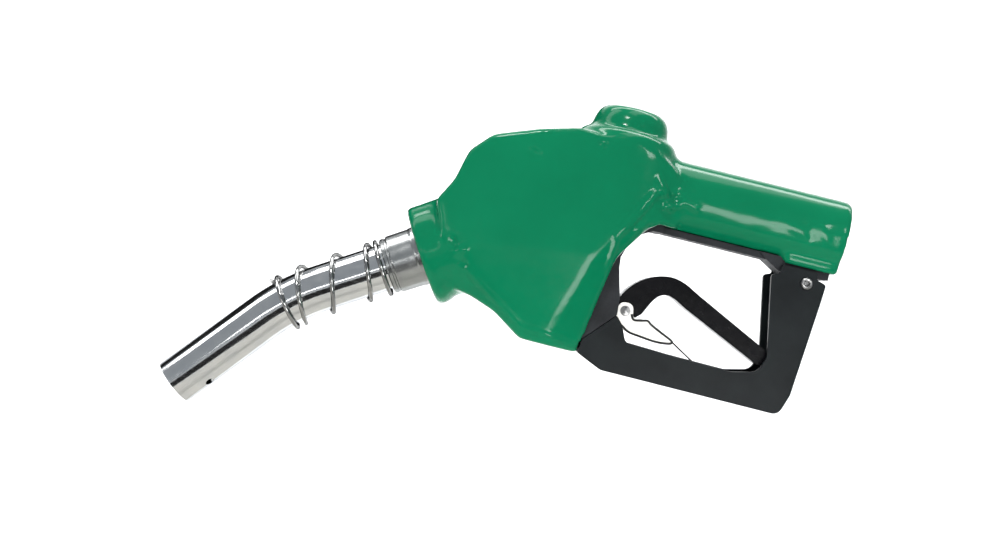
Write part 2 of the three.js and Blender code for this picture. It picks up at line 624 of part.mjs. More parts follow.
addPart('scuff_guard', scuffGuard(), green);
addPart('body_casting', bodyCasting(), blackCasting);
addPart('valve_cap', valveCap(), greyMetal);
addPart('valve_cap_seal', capSeal(), rubber);
addPart('main_seat_ring', seatRing(), brass);
addPart('inlet_strainer', inletStrainer(), brightSteel);
addPart('poppet_disc', poppetDisc(), rubber);
addPart('poppet_holder', poppetHolder(), brass);
addPart('valve_stem', valveStem(), brightSteel);
addPart('main_spring', mainSpring(), plainSteel);
addPart('stem_packing', stemPacking(), rubber);
addPart('packing_nut', packingNut(), brass);
addPart('spout_bushing', spoutBushing(), greyMetal);
addPart('spout_seal', spoutSeal(), rubber);
addPart('spout_tube', spoutTube(), brightSteel);
addPart('sensing_tube', sensingTube(), greyMetal);
addPart('spout_anchor_spring', anchorSpring(), brightSteel);
addPart('check_stop', checkStop(), brass);
addPart('check_poppet', checkPoppet(), brass);
addPart('check_spring', checkSpring(), plainSteel);
addPart('plunger', plunger(), plainSteel);
addPart('plunger_insert', plungerInsert(), brass);
addPart('plunger_spring', plungerSpring(), plainSteel);
addPart('fulcrum_pin', fulcrumPin(), plainSteel);
ballPlaces().forEach((at, n) => addPart(`latch_ball_${n + 1}`, latchBall(at), brightSteel));
addPart('tripping_pin', trippingPin(), brightSteel);
addPart('diaphragm', diaphragm(), rubber);
addPart('diaphragm_cap', diaphragmCap(), greyMetal);
addPart('diaphragm_spring', diaphragmSpring(), plainSteel);
diaphragmScrewPlaces().forEach((at, n) => {
  addPart(`diaphragm_screw_${n + 1}`, diaphragmScrew(at), plainSteel);
});
addPart('lever_guard', leverGuard(), guardBlack);
addPart('guard_screw_front_1', guardFrontScrew(-1), plainSteel);
addPart('guard_screw_front_2', guardFrontScrew(1), plainSteel);
addPart('guard_screw_rear', guardRearScrew(), brightSteel);
addPart('guard_nut_rear', guardRearNut(), plainSteel);
addPart('lever', lever(), blackLever);
addPart('hold_open_latch', holdOpenLatch(), brightSteel);
addPart('latch_rivet', latchRivet(), brightSteel);
addPart('latch_spring', latchSpring(), plainSteel);

export default nozzle;
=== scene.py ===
"""Automatic shut-off fuel nozzle, dressed for rendering on top of its jointed frame."""

import logging
import math
from dataclasses import dataclass, field
from enum import Enum
from typing import ClassVar, Iterable, Sequence

import bmesh
import bpy
from mathutils import Matrix, Vector


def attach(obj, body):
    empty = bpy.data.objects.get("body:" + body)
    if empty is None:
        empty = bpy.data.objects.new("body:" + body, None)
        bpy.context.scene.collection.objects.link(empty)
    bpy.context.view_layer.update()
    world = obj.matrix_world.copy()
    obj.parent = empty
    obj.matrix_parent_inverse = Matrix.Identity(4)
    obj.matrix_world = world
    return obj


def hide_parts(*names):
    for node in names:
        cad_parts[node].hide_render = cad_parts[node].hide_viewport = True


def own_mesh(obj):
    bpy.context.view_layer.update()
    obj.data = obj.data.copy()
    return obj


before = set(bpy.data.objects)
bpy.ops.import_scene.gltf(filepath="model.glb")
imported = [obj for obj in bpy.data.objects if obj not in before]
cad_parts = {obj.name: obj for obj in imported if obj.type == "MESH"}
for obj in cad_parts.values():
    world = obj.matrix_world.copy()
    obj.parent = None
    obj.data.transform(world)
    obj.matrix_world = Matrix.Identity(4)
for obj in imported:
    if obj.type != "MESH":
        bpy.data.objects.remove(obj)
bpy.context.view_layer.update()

log = logging.getLogger("nozzle")

MM = 0.001
Point = tuple[float, float]
Corner = tuple[float, float, float]


# ---- shapes ---------------------------------------------------------------------------------
def vec(x: float, z: float, y: float = 0.0) -> Vector:
    """A point of the mid plane in millimetres, y off it, as a vector in metres."""
    return Vector((x, y, z)) * MM


SPOUT_SLOPE = math.radians(32.0)
TIP_SLOPE = math.radians(50.0)
MOUTH = vec(-205.5, -60.5)
SPOUT_IN = Vector((math.cos(SPOUT_SLOPE), 0.0, math.sin(SPOUT_SLOPE)))
SPOUT_OUT = -SPOUT_IN
SPOUT_TIP = vec(-312.0, -153.5)
TIP_WAY = Vector((-math.cos(TIP_SLOPE), 0.0, -math.sin(TIP_SLOPE)))
UP = Vector((0.0, 0.0, 1.0))
ACROSS = Vector((0.0, 1.0, 0.0))
ALONG_GRIP = Vector((1.0, 0.0, 0.0))
PLUNGER_UP = Vector((-0.4472136, 0.0, 0.8944272))


class Cut(Enum):
    """How one solid changes another."""

    TAKE = "DIFFERENCE"
    JOIN = "UNION"


def deselect() -> None:
    """Leave nothing selected and object mode on."""
    if bpy.context.object and bpy.context.object.mode != "OBJECT":
        bpy.ops.object.mode_set(mode="OBJECT")
    bpy.ops.object.select_all(action="DESELECT")


def activate(piece: bpy.types.Object) -> None:
    """Select one object alone and make it the active one.

    Args:
        piece: the object.
    """
    deselect()
    piece.hide_viewport = False
    piece.select_set(True)
    bpy.context.view_layer.objects.active = piece


def apply_all(piece: bpy.types.Object) -> None:
    """Apply every modifier of an object, in order.

    Args:
        piece: the object.
    """
    activate(piece)
    for modifier in list(piece.modifiers):
        bpy.ops.object.modifier_apply(modifier=modifier.name)


def settle(piece: bpy.types.Object) -> None:
    """Put an object's place into its mesh, so that it stands at the origin."""
    activate(piece)
    bpy.ops.object.transform_apply(location=True, rotation=True, scale=True)


def face_out(piece: bpy.types.Object) -> None:
    """Merge doubles and turn every face of an object outwards.

    Args:
        piece: the object.
    """
    activate(piece)
    bpy.ops.object.mode_set(mode="EDIT")
    bpy.ops.mesh.select_all(action="SELECT")
    bpy.ops.mesh.remove_doubles(threshold=1e-6)
    bpy.ops.mesh.normals_make_consistent(inside=False)
    bpy.ops.object.mode_set(mode="OBJECT")


def rounded(corners: Sequence[Corner], steps: int = 6) -> list[Point]:
    """Round the corners of a closed outline.

    Args:
        corners: x, z and corner radius of each corner, in millimetres.
        steps: segments in each rounded corner.

    Returns:
        The outline's points, x and z in millimetres.
    """
    points: list[Point] = []
    count = len(corners)
    for n, (x, z, radius) in enumerate(corners):
        here = Vector((x, z))
        before = Vector(corners[n - 1][:2]) - here
        after = Vector(corners[(n + 1) % count][:2]) - here
        angle = before.angle(after)
        if radius <= 0 or angle > math.pi - 0.02:
            points.append((x, z))
            continue
        reach = min(radius / math.tan(angle / 2), 0.48 * before.length, 0.48 * after.length)
        radius = reach * math.tan(angle / 2)
        start = here + before.normalized() * reach
        end = here + after.normalized() * reach
        inwards = (before.normalized() + after.normalized()).normalized()
        middle = here + inwards * math.hypot(radius, reach)
        first, last = start - middle, end - middle
        sweep = first.angle_signed(last)
        for k in range(steps + 1):
            turn = -sweep * k / steps
            spot = Matrix.Rotation(turn, 2) @ first + middle
            points.append((spot.x, spot.y))
    return points


def plate(name: str, outline: Sequence[Point], half_width: float, bevel: float = 0.0,
          segments: int = 4) -> bpy.types.Object:
    """A solid with the given side view, centred on the mid plane.

    Args:
        name: the object's name.
        outline: x and z of the side view, in millimetres.
        half_width: half of its thickness, in millimetres.
        bevel: radius of its long edges, in millimetres.
        segments: segments of that radius.

    Returns:
        The new object.
    """
    deselect()
    bpy.ops.mesh.primitive_circle_add(vertices=len(outline), radius=0.01, fill_type="NGON")
    piece = bpy.context.object
    piece.name = name
    for vertex, (x, z) in zip(piece.data.vertices, outline):
        vertex.co = vec(x, z, -half_width)
    bpy.ops.object.mode_set(mode="EDIT")
    bpy.ops.mesh.select_all(action="SELECT")
    bpy.ops.mesh.extrude_region_move(TRANSFORM_OT_translate={"value": (0, 2 * half_width * MM, 0)})
    bpy.ops.object.mode_set(mode="OBJECT")
    face_out(piece)
    if bevel > 0:
        bevel_caps(piece, half_width, bevel, segments)
    return piece


def bevel_caps(piece: bpy.types.Object, half_width: float, bevel: float, segments: int) -> None:
    """Round the edges between a plate's two flat sides and its rim.

    Args:
        piece: the plate.
        half_width: half of its thickness, in millimetres.
        bevel: radius, in millimetres.
        segments: segments of the radius.
    """
    activate(piece)
    bpy.ops.object.mode_set(mode="EDIT")
    mesh = bmesh.from_edit_mesh(piece.data)
    for edge in mesh.edges:
        low, high = (vertex.co.y for vertex in edge.verts)
        edge.select_set(abs(low - high) < 1e-7 and abs(abs(low) - half_width * MM) < 1e-6)
    bmesh.update_edit_mesh(piece.data)
    bpy.ops.mesh.bevel(offset=bevel * MM, segments=segments, profile=0.5, clamp_overlap=False)
    bpy.ops.object.mode_set(mode="OBJECT")


def turned(name: str, profile: Sequence[Point], at: Vector, direction: Vector,
           steps: int = 64) -> bpy.types.Object:
    """A turned solid, spun from half of its section.

    Args:
        name: the object's name.
        profile: closed list of radius and height, in millimetres.
        at: where height nought is, in metres.
        direction: the way that height runs.
        steps: segments round the axis.

    Returns:
        The new object.
    """
    deselect()
    bpy.ops.mesh.primitive_circle_add(vertices=len(profile), radius=0.01)
    piece = bpy.context.object
    piece.name = name
    for vertex, (radius, height) in zip(piece.data.vertices, profile):
        vertex.co = Vector((radius, 0.0, height)) * MM
    bpy.ops.object.mode_set(mode="EDIT")
    bpy.ops.mesh.select_all(action="SELECT")
    bpy.ops.mesh.spin(steps=steps, angle=2 * math.pi, center=(0, 0, 0), axis=(0, 0, 1))
    bpy.ops.mesh.select_all(action="SELECT")
    bpy.ops.mesh.remove_doubles(threshold=2e-6)
    bpy.ops.mesh.dissolve_degenerate(threshold=1e-6)
    bpy.ops.mesh.normals_make_consistent(inside=False)
    bpy.ops.object.mode_set(mode="OBJECT")
    piece.rotation_mode = "QUATERNION"
    piece.rotation_quaternion = UP.rotation_difference(direction)
    piece.location = at
    settle(piece)
    return piece


def rod(name: str, radius: float, start: Vector, end: Vector, sides: int = 48) -> bpy.types.Object:
    """A round bar between two points.

    Args:
        name: the object's name.
        radius: in millimetres.
        start: one end, in metres.
        end: the other end, in metres.
        sides: segments round the bar.

    Returns:
        The new object.
    """
    deselect()
    way = end - start
    bpy.ops.mesh.primitive_cylinder_add(
        vertices=sides, radius=radius * MM, depth=way.length, location=(start + end) / 2,
        rotation=UP.rotation_difference(way).to_euler())
    piece = bpy.context.object
    piece.name = name
    settle(piece)
    return piece


def block(name: str, low: Vector, high: Vector) -> bpy.types.Object:
    """A box between two corners.

    Args:
        name: the object's name.
        low: the corner with the lowest numbers, in metres.
        high: the corner with the highest numbers, in metres.

    Returns:
        The new object.
    """
    deselect()
    bpy.ops.mesh.primitive_cube_add(size=1.0, location=(low + high) / 2)
    piece = bpy.context.object
    piece.name = name
    piece.scale = high - low
    settle(piece)
    return piece


def wire(name: str, path: Sequence[Vector], radius: float, sides: int = 6) -> bpy.types.Object:
    """A closed round wire laid along a path.

    Args:
        name: the object's name.
        path: points of the path, in metres.
        radius: of the wire, in millimetres.
        sides: a quarter of the segments round the wire, less one.

    Returns:
        The new mesh object.
    """
    deselect()
    bpy.ops.curve.primitive_bezier_curve_add()
    piece = bpy.context.object
    piece.name = name
    curve = piece.data
    curve.splines.clear()
    spline = curve.splines.new("POLY")
    spline.points.add(len(path) - 1)
    for knot, spot in zip(spline.points, path):
        knot.co = (*spot, 1.0)
    curve.bevel_depth = radius * MM
    curve.bevel_resolution = sides
    curve.use_fill_caps = True
    curve.twist_mode = "MINIMUM"
    activate(piece)
    bpy.ops.object.convert(target="MESH")
    face_out(piece)
    return piece


def combine(target: bpy.types.Object, tool: bpy.types.Object, how: Cut) -> None:
    """Join one solid to another or cut it with one, which is used up.

    Args:
        target: the solid that changes.
        tool: the solid that changes it.
        how: which of the two is done.
    """
    modifier = target.modifiers.new("combine", "BOOLEAN")
    modifier.operation = how.value
    modifier.solver = "MANIFOLD"
    modifier.object = tool
    apply_all(target)
    bpy.data.objects.remove(tool, do_unlink=True)


def fuse(name: str, pieces: Sequence[bpy.types.Object], voxel: float, passes: int,
         strength: float = 0.5) -> bpy.types.Object:
    """Melt several closed solids into one skin with softened creases.

    Args:
        name: the new object's name.
        pieces: the solids.
        voxel: size of the skin's faces, in millimetres.
        passes: how often the skin is smoothed.
        strength: how much each pass smooths.

    Returns:
        The first of the solids, which holds the new skin.
    """
    whole = pieces[0]
    activate(whole)
    for piece in pieces[1:]:
        piece.select_set(True)
    if len(pieces) > 1:
        bpy.ops.object.join()
    whole.name = name
    remesh = whole.modifiers.new("skin", "REMESH")
    remesh.mode = "VOXEL"
    remesh.voxel_size = voxel * MM
    soften = whole.modifiers.new("soften", "SMOOTH")
    soften.factor = strength
    soften.iterations = passes
    apply_all(whole)
    return whole


def slice_off(piece: bpy.types.Object, spot: Vector, way: Vector) -> None:
    """Slice off the part of a solid that lies past a plane, and close the cut.

    Args:
        piece: the solid.
        spot: a point of the plane.
        way: the plane's direction, towards the part that goes.
    """
    activate(piece)
    bpy.ops.object.mode_set(mode="EDIT")
    bpy.ops.mesh.select_all(action="SELECT")
    bpy.ops.mesh.bisect(plane_co=spot, plane_no=way, use_fill=True, clear_outer=True)
    bpy.ops.object.mode_set(mode="OBJECT")


def dent(piece: bpy.types.Object, start: Point, end: Point, depth: float, reach: float) -> None:
    """Press a soft crease into both sides of an object, or raise one.

    Args:
        piece: the object.
        start: x and z where the crease starts, in millimetres.
        end: x and z where it ends.
        depth: how far it is pressed in, in millimetres; less than nought raises it.
        reach: how far it spreads, in millimetres.
    """
    a, b = vec(*start), vec(*end)
    for vertex in piece.data.vertices:
        spot = Vector((vertex.co.x, 0.0, vertex.co.z))
        share = max(0.0, min(1.0, (spot - a).dot(b - a) / (b - a).length_squared))
        away = (spot - a - (b - a) * share).length / (reach * MM)
        if away < 1.0 and abs(vertex.co.y) > 0.004:
            fade = (1.0 - away * away) ** 2 * (1.0 - abs(2.0 * share - 1.0) ** 3 * 0.7)
            vertex.co -= vertex.normal * depth * MM * fade


def round_edges(piece: bpy.types.Object, width: float, segments: int = 2, angle: float = 35.0) -> None:
    """Round every edge of an object that is sharper than an angle.

    Args:
        piece: the object.
        width: of the rounding, in millimetres.
        segments: of the rounding.
        angle: in degrees.
    """
    modifier = piece.modifiers.new("edges", "BEVEL")
    modifier.width = width * MM
    modifier.segments = segments
    modifier.limit_method = "ANGLE"
    modifier.angle_limit = math.radians(angle)
    modifier.use_clamp_overlap = True
    modifier.harden_normals = False
    apply_all(piece)


def shade(piece: bpy.types.Object, angle: float = 35.0) -> None:
    """Shade an object smoothly, except over its sharp edges.

    Args:
        piece: the object.
        angle: an edge sharper than this is sharp, in degrees.
    """
    activate(piece)
    bpy.ops.object.shade_smooth_by_angle(angle=math.radians(angle))
    weighted = piece.modifiers.new("weighted", "WEIGHTED_NORMAL")
    weighted.keep_sharp = True
    apply_all(piece)


# ---- finishes -------------------------------------------------------------------------------
@dataclass(frozen=True)
class Finish:
    """One surface finish, mottled by noise so that no face of it is perfectly even."""

    name: str
    dark: tuple[float, float, float]
    light: tuple[float, float, float]
    metallic: float = 0.0
    rough_low: float = 0.3
    rough_high: float = 0.45
    tone_scale: float = 60.0
    grain: tuple[float, float, float] = (1.0, 1.0, 1.0)
    grain_turn: float = 0.0
    grain_scale: float = 400.0
    bump: float = 0.05
    bump_depth: float = 0.00002
    wave_bump: float = 0.0
    wave_scale: float = 40.0
    specular: float = 0.5
    edge: tuple[float, float, float] = (1.0, 1.0, 1.0)

    def make(self) -> bpy.types.Material:
        """Build the material.

        Returns:
            The material, named after the finish.
        """
        material = bpy.data.materials.new(self.name)
        material.use_nodes = True
        tree = material.node_tree
        nodes, links = tree.nodes, tree.links
        shader = nodes["Principled BSDF"]
        shader.inputs["Metallic"].default_value = self.metallic
        shader.inputs["Specular IOR Level"].default_value = self.specular
        shader.inputs["Specular Tint"].default_value = (*self.edge, 1.0)
        place = nodes.new("ShaderNodeTexCoord")
        stretch = nodes.new("ShaderNodeMapping")
        stretch.inputs["Rotation"].default_value = (0.0, self.grain_turn, 0.0)
        stretch.inputs["Scale"].default_value = self.grain
        links.new(place.outputs["Object"], stretch.inputs["Vector"])
        tone = nodes.new("ShaderNodeTexNoise")
        tone.inputs["Scale"].default_value = self.tone_scale
        tone.inputs["Detail"].default_value = 4.0
        links.new(place.outputs["Object"], tone.inputs["Vector"])
        ramp = nodes.new("ShaderNodeValToRGB")
        ramp.color_ramp.elements[0].position = 0.3
        ramp.color_ramp.elements[0].color = (*self.dark, 1.0)
        ramp.color_ramp.elements[1].position = 0.7
        ramp.color_ramp.elements[1].color = (*self.light, 1.0)
        links.new(tone.outputs["Fac"], ramp.inputs["Fac"])
        links.new(ramp.outputs["Color"], shader.inputs["Base Color"])
        grain = nodes.new("ShaderNodeTexNoise")
        grain.inputs["Scale"].default_value = self.grain_scale
        grain.inputs["Detail"].default_value = 6.0
        links.new(stretch.outputs["Vector"], grain.inputs["Vector"])
        rough = nodes.new("ShaderNodeMapRange")
        rough.inputs["From Min"].default_value = 0.3
        rough.inputs["From Max"].default_value = 0.7
        rough.inputs["To Min"].default_value = self.rough_low
        rough.inputs["To Max"].default_value = self.rough_high
        links.new(grain.outputs["Fac"], rough.inputs["Value"])
        links.new(rough.outputs["Result"], shader.inputs["Roughness"])
        bump = nodes.new("ShaderNodeBump")
        bump.inputs["Strength"].default_value = self.bump
        bump.inputs["Distance"].default_value = self.bump_depth
        links.new(grain.outputs["Fac"], bump.inputs["Height"])
        if self.wave_bump > 0:
            wave = nodes.new("ShaderNodeTexNoise")
            wave.inputs["Scale"].default_value = self.wave_scale
            wave.inputs["Detail"].default_value = 1.5
            links.new(place.outputs["Object"], wave.inputs["Vector"])
            swell = nodes.new("ShaderNodeBump")
            swell.inputs["Strength"].default_value = self.wave_bump
            swell.inputs["Distance"].default_value = 0.004
            links.new(wave.outputs["Fac"], swell.inputs["Height"])
            links.new(bump.outputs["Normal"], swell.inputs["Normal"])
            links.new(swell.outputs["Normal"], shader.inputs["Normal"])
        else:
            links.new(bump.outputs["Normal"], shader.inputs["Normal"])
        return material


GREEN_VINYL = Finish(
    "green_vinyl", (0.001, 0.134, 0.057), (0.002, 0.164, 0.071), rough_low=0.10, rough_high=0.17,
    tone_scale=14.0, bump=0.05, bump_depth=0.000006, wave_bump=0.07, wave_scale=55.0,
    specular=0.18)
DARK_CASTING = Finish(
    "dark_casting", (0.011, 0.012, 0.014), (0.020, 0.022, 0.025), specular=0.22, rough_low=0.5,
    rough_high=0.7, grain_scale=900.0, bump=0.4, bump_depth=0.00006)
GUARD_PLASTIC = Finish(
    "guard_plastic", (0.004, 0.006, 0.007), (0.008, 0.011, 0.012), rough_low=0.34, rough_high=0.48,
    grain_scale=1400.0, bump=0.3, bump_depth=0.00002, specular=0.15)
LEVER_PLASTIC = Finish(
    "lever_plastic", (0.002, 0.002, 0.0024), (0.004, 0.004, 0.005), rough_low=0.20,
    rough_high=0.28, grain_scale=300.0, bump=0.1, bump_depth=0.000004, specular=0.13)
SPOUT_METAL = Finish(
    "spout_metal", (0.70, 0.71, 0.72), (0.80, 0.80, 0.79), metallic=1.0, rough_low=0.06,
    rough_high=0.16, tone_scale=120.0, grain=(0.05, 1.0, 1.0), grain_turn=math.radians(41.0),
    grain_scale=1200.0, bump=0.25, bump_depth=0.00001, wave_bump=0.012, wave_scale=70.0,
    edge=(0.45, 0.46, 0.48))
TURNED_METAL = Finish(
    "turned_metal", (0.36, 0.37, 0.37), (0.46, 0.47, 0.46), metallic=1.0, rough_low=0.22,
    rough_high=0.27, tone_scale=90.0, grain_scale=300.0, bump=0.1, bump_depth=0.000002,
    edge=(0.5, 0.5, 0.5))
SPRING_STEEL = Finish(
    "spring_steel", (0.30, 0.30, 0.30), (0.42, 0.42, 0.41), metallic=1.0, rough_low=0.10,
    rough_high=0.2, grain_scale=1200.0, bump=0.1, edge=(0.3, 0.3, 0.3))
PLAIN_STEEL = Finish(
    "plain_steel", (0.24, 0.24, 0.24), (0.34, 0.34, 0.33), metallic=1.0, rough_low=0.25,
    rough_high=0.4, grain_scale=900.0, bump=0.08)
BRIGHT_STEEL = Finish(
    "bright_steel", (0.78, 0.76, 0.71), (0.86, 0.84, 0.79), metallic=0.7, rough_low=0.3,
    rough_high=0.42, grain_scale=900.0, bump=0.1)
BRASS = Finish(
    "brass", (0.45, 0.32, 0.11), (0.60, 0.44, 0.18), metallic=1.0, rough_low=0.22, rough_high=0.4,
    grain_scale=900.0, bump=0.08)
# Near-black wire finish; on the wire round the latch's edges its darkness also paints the shade along
# those edges.
WIRE_AND_EDGE_SHADE = Finish(
    "wire_and_edge_shade", (0.03, 0.03, 0.03), (0.06, 0.06, 0.058), metallic=0.8, rough_low=0.3,
    rough_high=0.42, grain_scale=900.0, bump=0.1)
SEAL_RUBBER = Finish(
    "seal_rubber", (0.012, 0.012, 0.012), (0.022, 0.022, 0.022), rough_low=0.7, rough_high=0.85,
    grain_scale=900.0, bump=0.2)
FLAG_BLACK = Finish(
    "flag_black", (0.01, 0.01, 0.01), (0.015, 0.015, 0.015), rough_low=0.9, rough_high=1.0,
    bump=0.01, specular=0.0)
FLAG_GREY = Finish(
    "flag_grey", (0.40, 0.39, 0.36), (0.44, 0.43, 0.40), rough_low=0.9, rough_high=1.0, bump=0.01,
    specular=0.0)
STAGE_WHITE = Finish(
    "stage_white", (0.86, 0.86, 0.86), (0.90, 0.90, 0.90), rough_low=0.8, rough_high=0.9,
    tone_scale=3.0, grain_scale=50.0, bump=0.01, specular=0.1)


class Palette:
    """Makes each finish once and hands its material out."""

    def __init__(self) -> None:
        """Start with no material made."""
        self.made: dict[str, bpy.types.Material] = {}

    def paint(self, piece: bpy.types.Object, finish: Finish) -> None:
        """Give an object one finish all over.

        Args:
            piece: the object.
            finish: the finish.
        """
        if finish.name not in self.made:
            self.made[finish.name] = finish.make()
        piece.data.materials.clear()
        piece.data.materials.append(self.made[finish.name])


def place(piece: bpy.types.Object, body: str, nodes: Iterable[str] = (), slot: str = "") -> None:
    """Fix a finished piece to a body of the frame.

    Args:
        piece: the finished object.
        body: the frame's body that carries it.
        nodes: frame nodes that it stands for.
        slot: the material slot that it belongs to; not used.
    """
    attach(piece, body)
    for node in nodes:
        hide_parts(node)
    log.info("%s rides on %s", piece.name, body)


# ---- soft cover -----------------------------------------------------------------------------
@dataclass
class SoftCover:
    """The dipped cover over the grip, body, cap and mouth."""

    wall: float = 2.0
    grip_radius: float = 18.4
    half_width: float = 26.0
    mouth_radius: float = 24.6
    grip_flat: float = math.radians(12.0)
    cap_x: float = -117.5
    neck: ClassVar[tuple[Point, ...]] = (
        (-114, 26), (-106, 25), (-99, 23), (-92, 19.8), (-84, 15.2))
    creases: ClassVar[tuple[tuple[Point, Point, float, float], ...]] = (
        ((-99, 4), (-91, -6), -1.9, 3.4), ((-96, -6), (-87, -1), 1.3, 2.8),
        ((-92, -8), (-84, -4), -1.2, 2.6), ((-94, -10), (-86, -12), 1.0, 2.4),
        ((-86, -2), (-76, -5), -1.0, 2.8), ((-88, 8), (-80, 3), 0.9, 3.2),
        ((-112.3, -27), (-99, -2.5), -1.7, 3.3), ((-112.3, -27), (-113.5, -46), -0.6, 2.2),
        ((-105, -24), (-99, -17), -0.8, 2.2), ((-180.8, -62), (-148, -82.7), -0.8, 2.4),
        ((-148, -82.7), (-119, -85.6), -0.8, 2.4), ((-18, 2), (-10, 4), -0.3, 2.6),
        ((-188, -55), (-184, -51), -1.0, 3.0), ((-192, -48), (-189, -53), 1.1, 2.6),
        ((-186, -58), (-181, -60), 0.9, 2.4), ((-76, -3), (-60, -4), -0.12, 4.2),
        ((-60, 0), (-50, -1), 0.12, 3.6), ((-48, -4), (-38, -3), -0.12, 3.6),
        ((-30, -2), (-20, -4), -0.25, 3.2), ((-22, 3), (-17, -7), 0.3, 3.0),
        ((-15, 4), (-9, -6), -0.3, 3.2), ((-132, 14), (-128, 15), 0.9, 2.8),
        ((-166, 3), (-159, 1), 0.7, 3.0))
    outline: list[Corner] = field(default_factory=lambda: [
        (-84, 4, 0), (-92, 12, 6), (-102, 17.5, 6), (-143, 20.0, 8), (-162, 14.8, 10), (-184, 6.6, 8),
        (-193.8, -4, 6), (-197.5, -20, 8), (-204, -32, 0), (-188, -72, 3), (-176, -74.3, 8),
        (-163, -78.8, 10), (-147.5, -89.0, 2.5), (-117.2, -89.3, 1.5), (-113.5, -60, 20),
        (-110, -38, 14), (-97, -18.5, 6), (-84, -17.5, 0)])
    facets: list[tuple[Vector, Vector, Vector]] = field(default_factory=lambda: [
        (vec(-193.8, -48, 26), vec(-117.7, -38, 26), vec(-150, -84, 20.9)),
        (vec(-112.1, -26.5, 25.4), vec(-93.6, 4.5, 25.4), vec(-91, -17, 19.6)),
        (vec(-180.8, -62, 23.0), vec(-148, -82.7, 20.9), vec(-161.8, -81.6, 17.4)),
        (vec(-148, -82.7, 20.9), vec(-118.4, -84.2, 20.6), vec(-132, -89.2, 18.2)),
        *((vec(x, 0, y), vec(x, 20, y), vec(far_x, 0, far_y))
          for (x, y), (far_x, far_y) in zip(SoftCover.neck, SoftCover.neck[1:]))])

    def body(self) -> bpy.types.Object:
        """Build the body, with its sides sliced to gently sloping facets.

        Returns:
            The solid body.
        """
        body = plate("cover_body", rounded(self.outline), self.half_width, 3.2)
        for near, far, low in self.facets:
            for side in (1.0, -1.0):
                mirror = Vector((1.0, side, 1.0))
                a, b, c = near * mirror, far * mirror, low * mirror
                way = (b - a).cross(c - a).normalized()
                slice_off(body, a, way if way.y * side > 0 else -way)
        return body

    def form(self) -> bpy.types.Object:
        """Build the outer skin as one closed form.

        Returns:
            The form, not yet hollow.
        """
        grip = rod("cover_grip", self.grip_radius, vec(-112, 0), vec(0.6, 0), 96)
        for side in (1.0, -1.0):
            way = Vector((0.0, side * math.cos(self.grip_flat), -math.sin(self.grip_flat)))
            slice_off(grip, way * (self.grip_radius - 0.5) * MM, way)
        pad = block("cover_pad", vec(-28, -20.2, -12.5), vec(0.2, -10, 12.5))
        r = self.mouth_radius
        tube = turned("cover_mouth", [
            (0, 0), (r - 1.2, 0), (r, 1.2), (r + 0.2, 4), (r + 0.8, 32), (0, 32)], MOUTH, SPOUT_IN, 96)
        base = turned("cover_shoulder", [
            (0, -14), (26, -12), (26.4, 18), (24.9, 22.6), (21.8, 25.0), (0, 25)],
            vec(self.cap_x, 0), UP, 96)
        soft = fuse("cover_soft", [self.body(), grip, pad, tube, base], 1.4, 4)
        cap = turned("cover_cap", [
            (0, 10), (19.9, 10), (19.6, 27), (18.9, 31), (17.3, 34.6), (14.5, 37.0), (10, 37.9),
            (0, 38)], vec(self.cap_x, 0), UP, 96)
        lip = turned("cover_lip", [
            (15.5, 0.3), (r - 1.0, 0.0), (r + 0.1, 1.0), (r + 0.3, 3), (r - 0.4, 6), (15.5, 6)],
            MOUTH, SPOUT_IN, 96)
        flare = turned("cover_flare", [
            (0, 0.4), (22.4, 0.4), (23.6, 1.6), (24.2, 4), (23.4, 8), (20, 13), (0, 16)],
            MOUTH - SPOUT_IN.cross(ACROSS) * 0.0028, SPOUT_IN, 96)
        return fuse("cover_form", [soft, cap, lip, flare], 1.1, 3)

    def inside(self, cover: bpy.types.Object) -> bpy.types.Object:
        """Shrink a copy of the form by the cover's wall.

        Args:
            cover: the closed form.

        Returns:
            The space inside the cover.
        """
        activate(cover)
        bpy.ops.object.duplicate()
        space = bpy.context.object
        shrink = space.modifiers.new("shrink", "DISPLACE")
        shrink.mid_level = 0.0
        shrink.strength = -self.wall * MM
        apply_all(space)
        return fuse("cover_space", [space], 1.5, 1)

    def crease(self, cover: bpy.types.Object) -> None:
        """Press the soft wrinkles of the neck into both sides.

        Args:
            cover: the cover.
        """
        for start, end, depth, reach in self.creases:
            dent(cover, start, end, depth, reach)

    def build(self) -> bpy.types.Object:
        """Hollow the form and cut its openings.

        Returns:
            The finished cover.
        """
        cover = self.form()
        combine(cover, self.inside(cover), Cut.TAKE)
        skirt = rounded([
            (-90, -13, 0), (-90, -20.3, 0), (-95, -20.5, 2), (-100, -23.5, 2), (-109.5, -34, 10),
            (-110.8, -50, 10), (-112.0, -60, 10), (-115.5, -82, 0), (-121, -82, 0),
            (-118.5, -60, 6), (-115.5, -38, 10), (-106, -22, 8), (-98, -13, 6)])
        cuts = [
            plate("cut_skirt", skirt, 13.4),
            block("cut_rib", vec(-95, -30, -20), vec(-28.3, -16.9, 20)),
            block("cut_web", vec(-96, -30, -4.8), vec(-27, -12, 4.8)),
            block("cut_lug", vec(-27.9, -36, -9.8), vec(-2.9, -12, 9.8)),
            block("cut_tongue", vec(-123, -87.4, -13.4), vec(-112, -78, 13.4)),
            rod("cut_bore", 16.2, vec(-3, 0), vec(6, 0), 96),
            rod("cut_mouth", 15.6, MOUTH - SPOUT_IN * 0.008, MOUTH + SPOUT_IN * 0.008, 96),
        ]
        for cut in cuts:
            combine(cover, cut, Cut.TAKE)
        cover = fuse("soft_cover", [cover], 1.15, 3, 0.45)
        self.crease(cover)
        return cover

    def dress(self, cover: bpy.types.Object, palette: Palette) -> None:
        """Paint the cover and put it on the body.

        Args:
            cover: the finished cover.
            palette: hands out its material.
        """
        shade(cover, 60)
        palette.paint(cover, GREEN_VINYL)
        place(cover, "nozzle_body", ["scuff_guard"], "cover_vinyl")


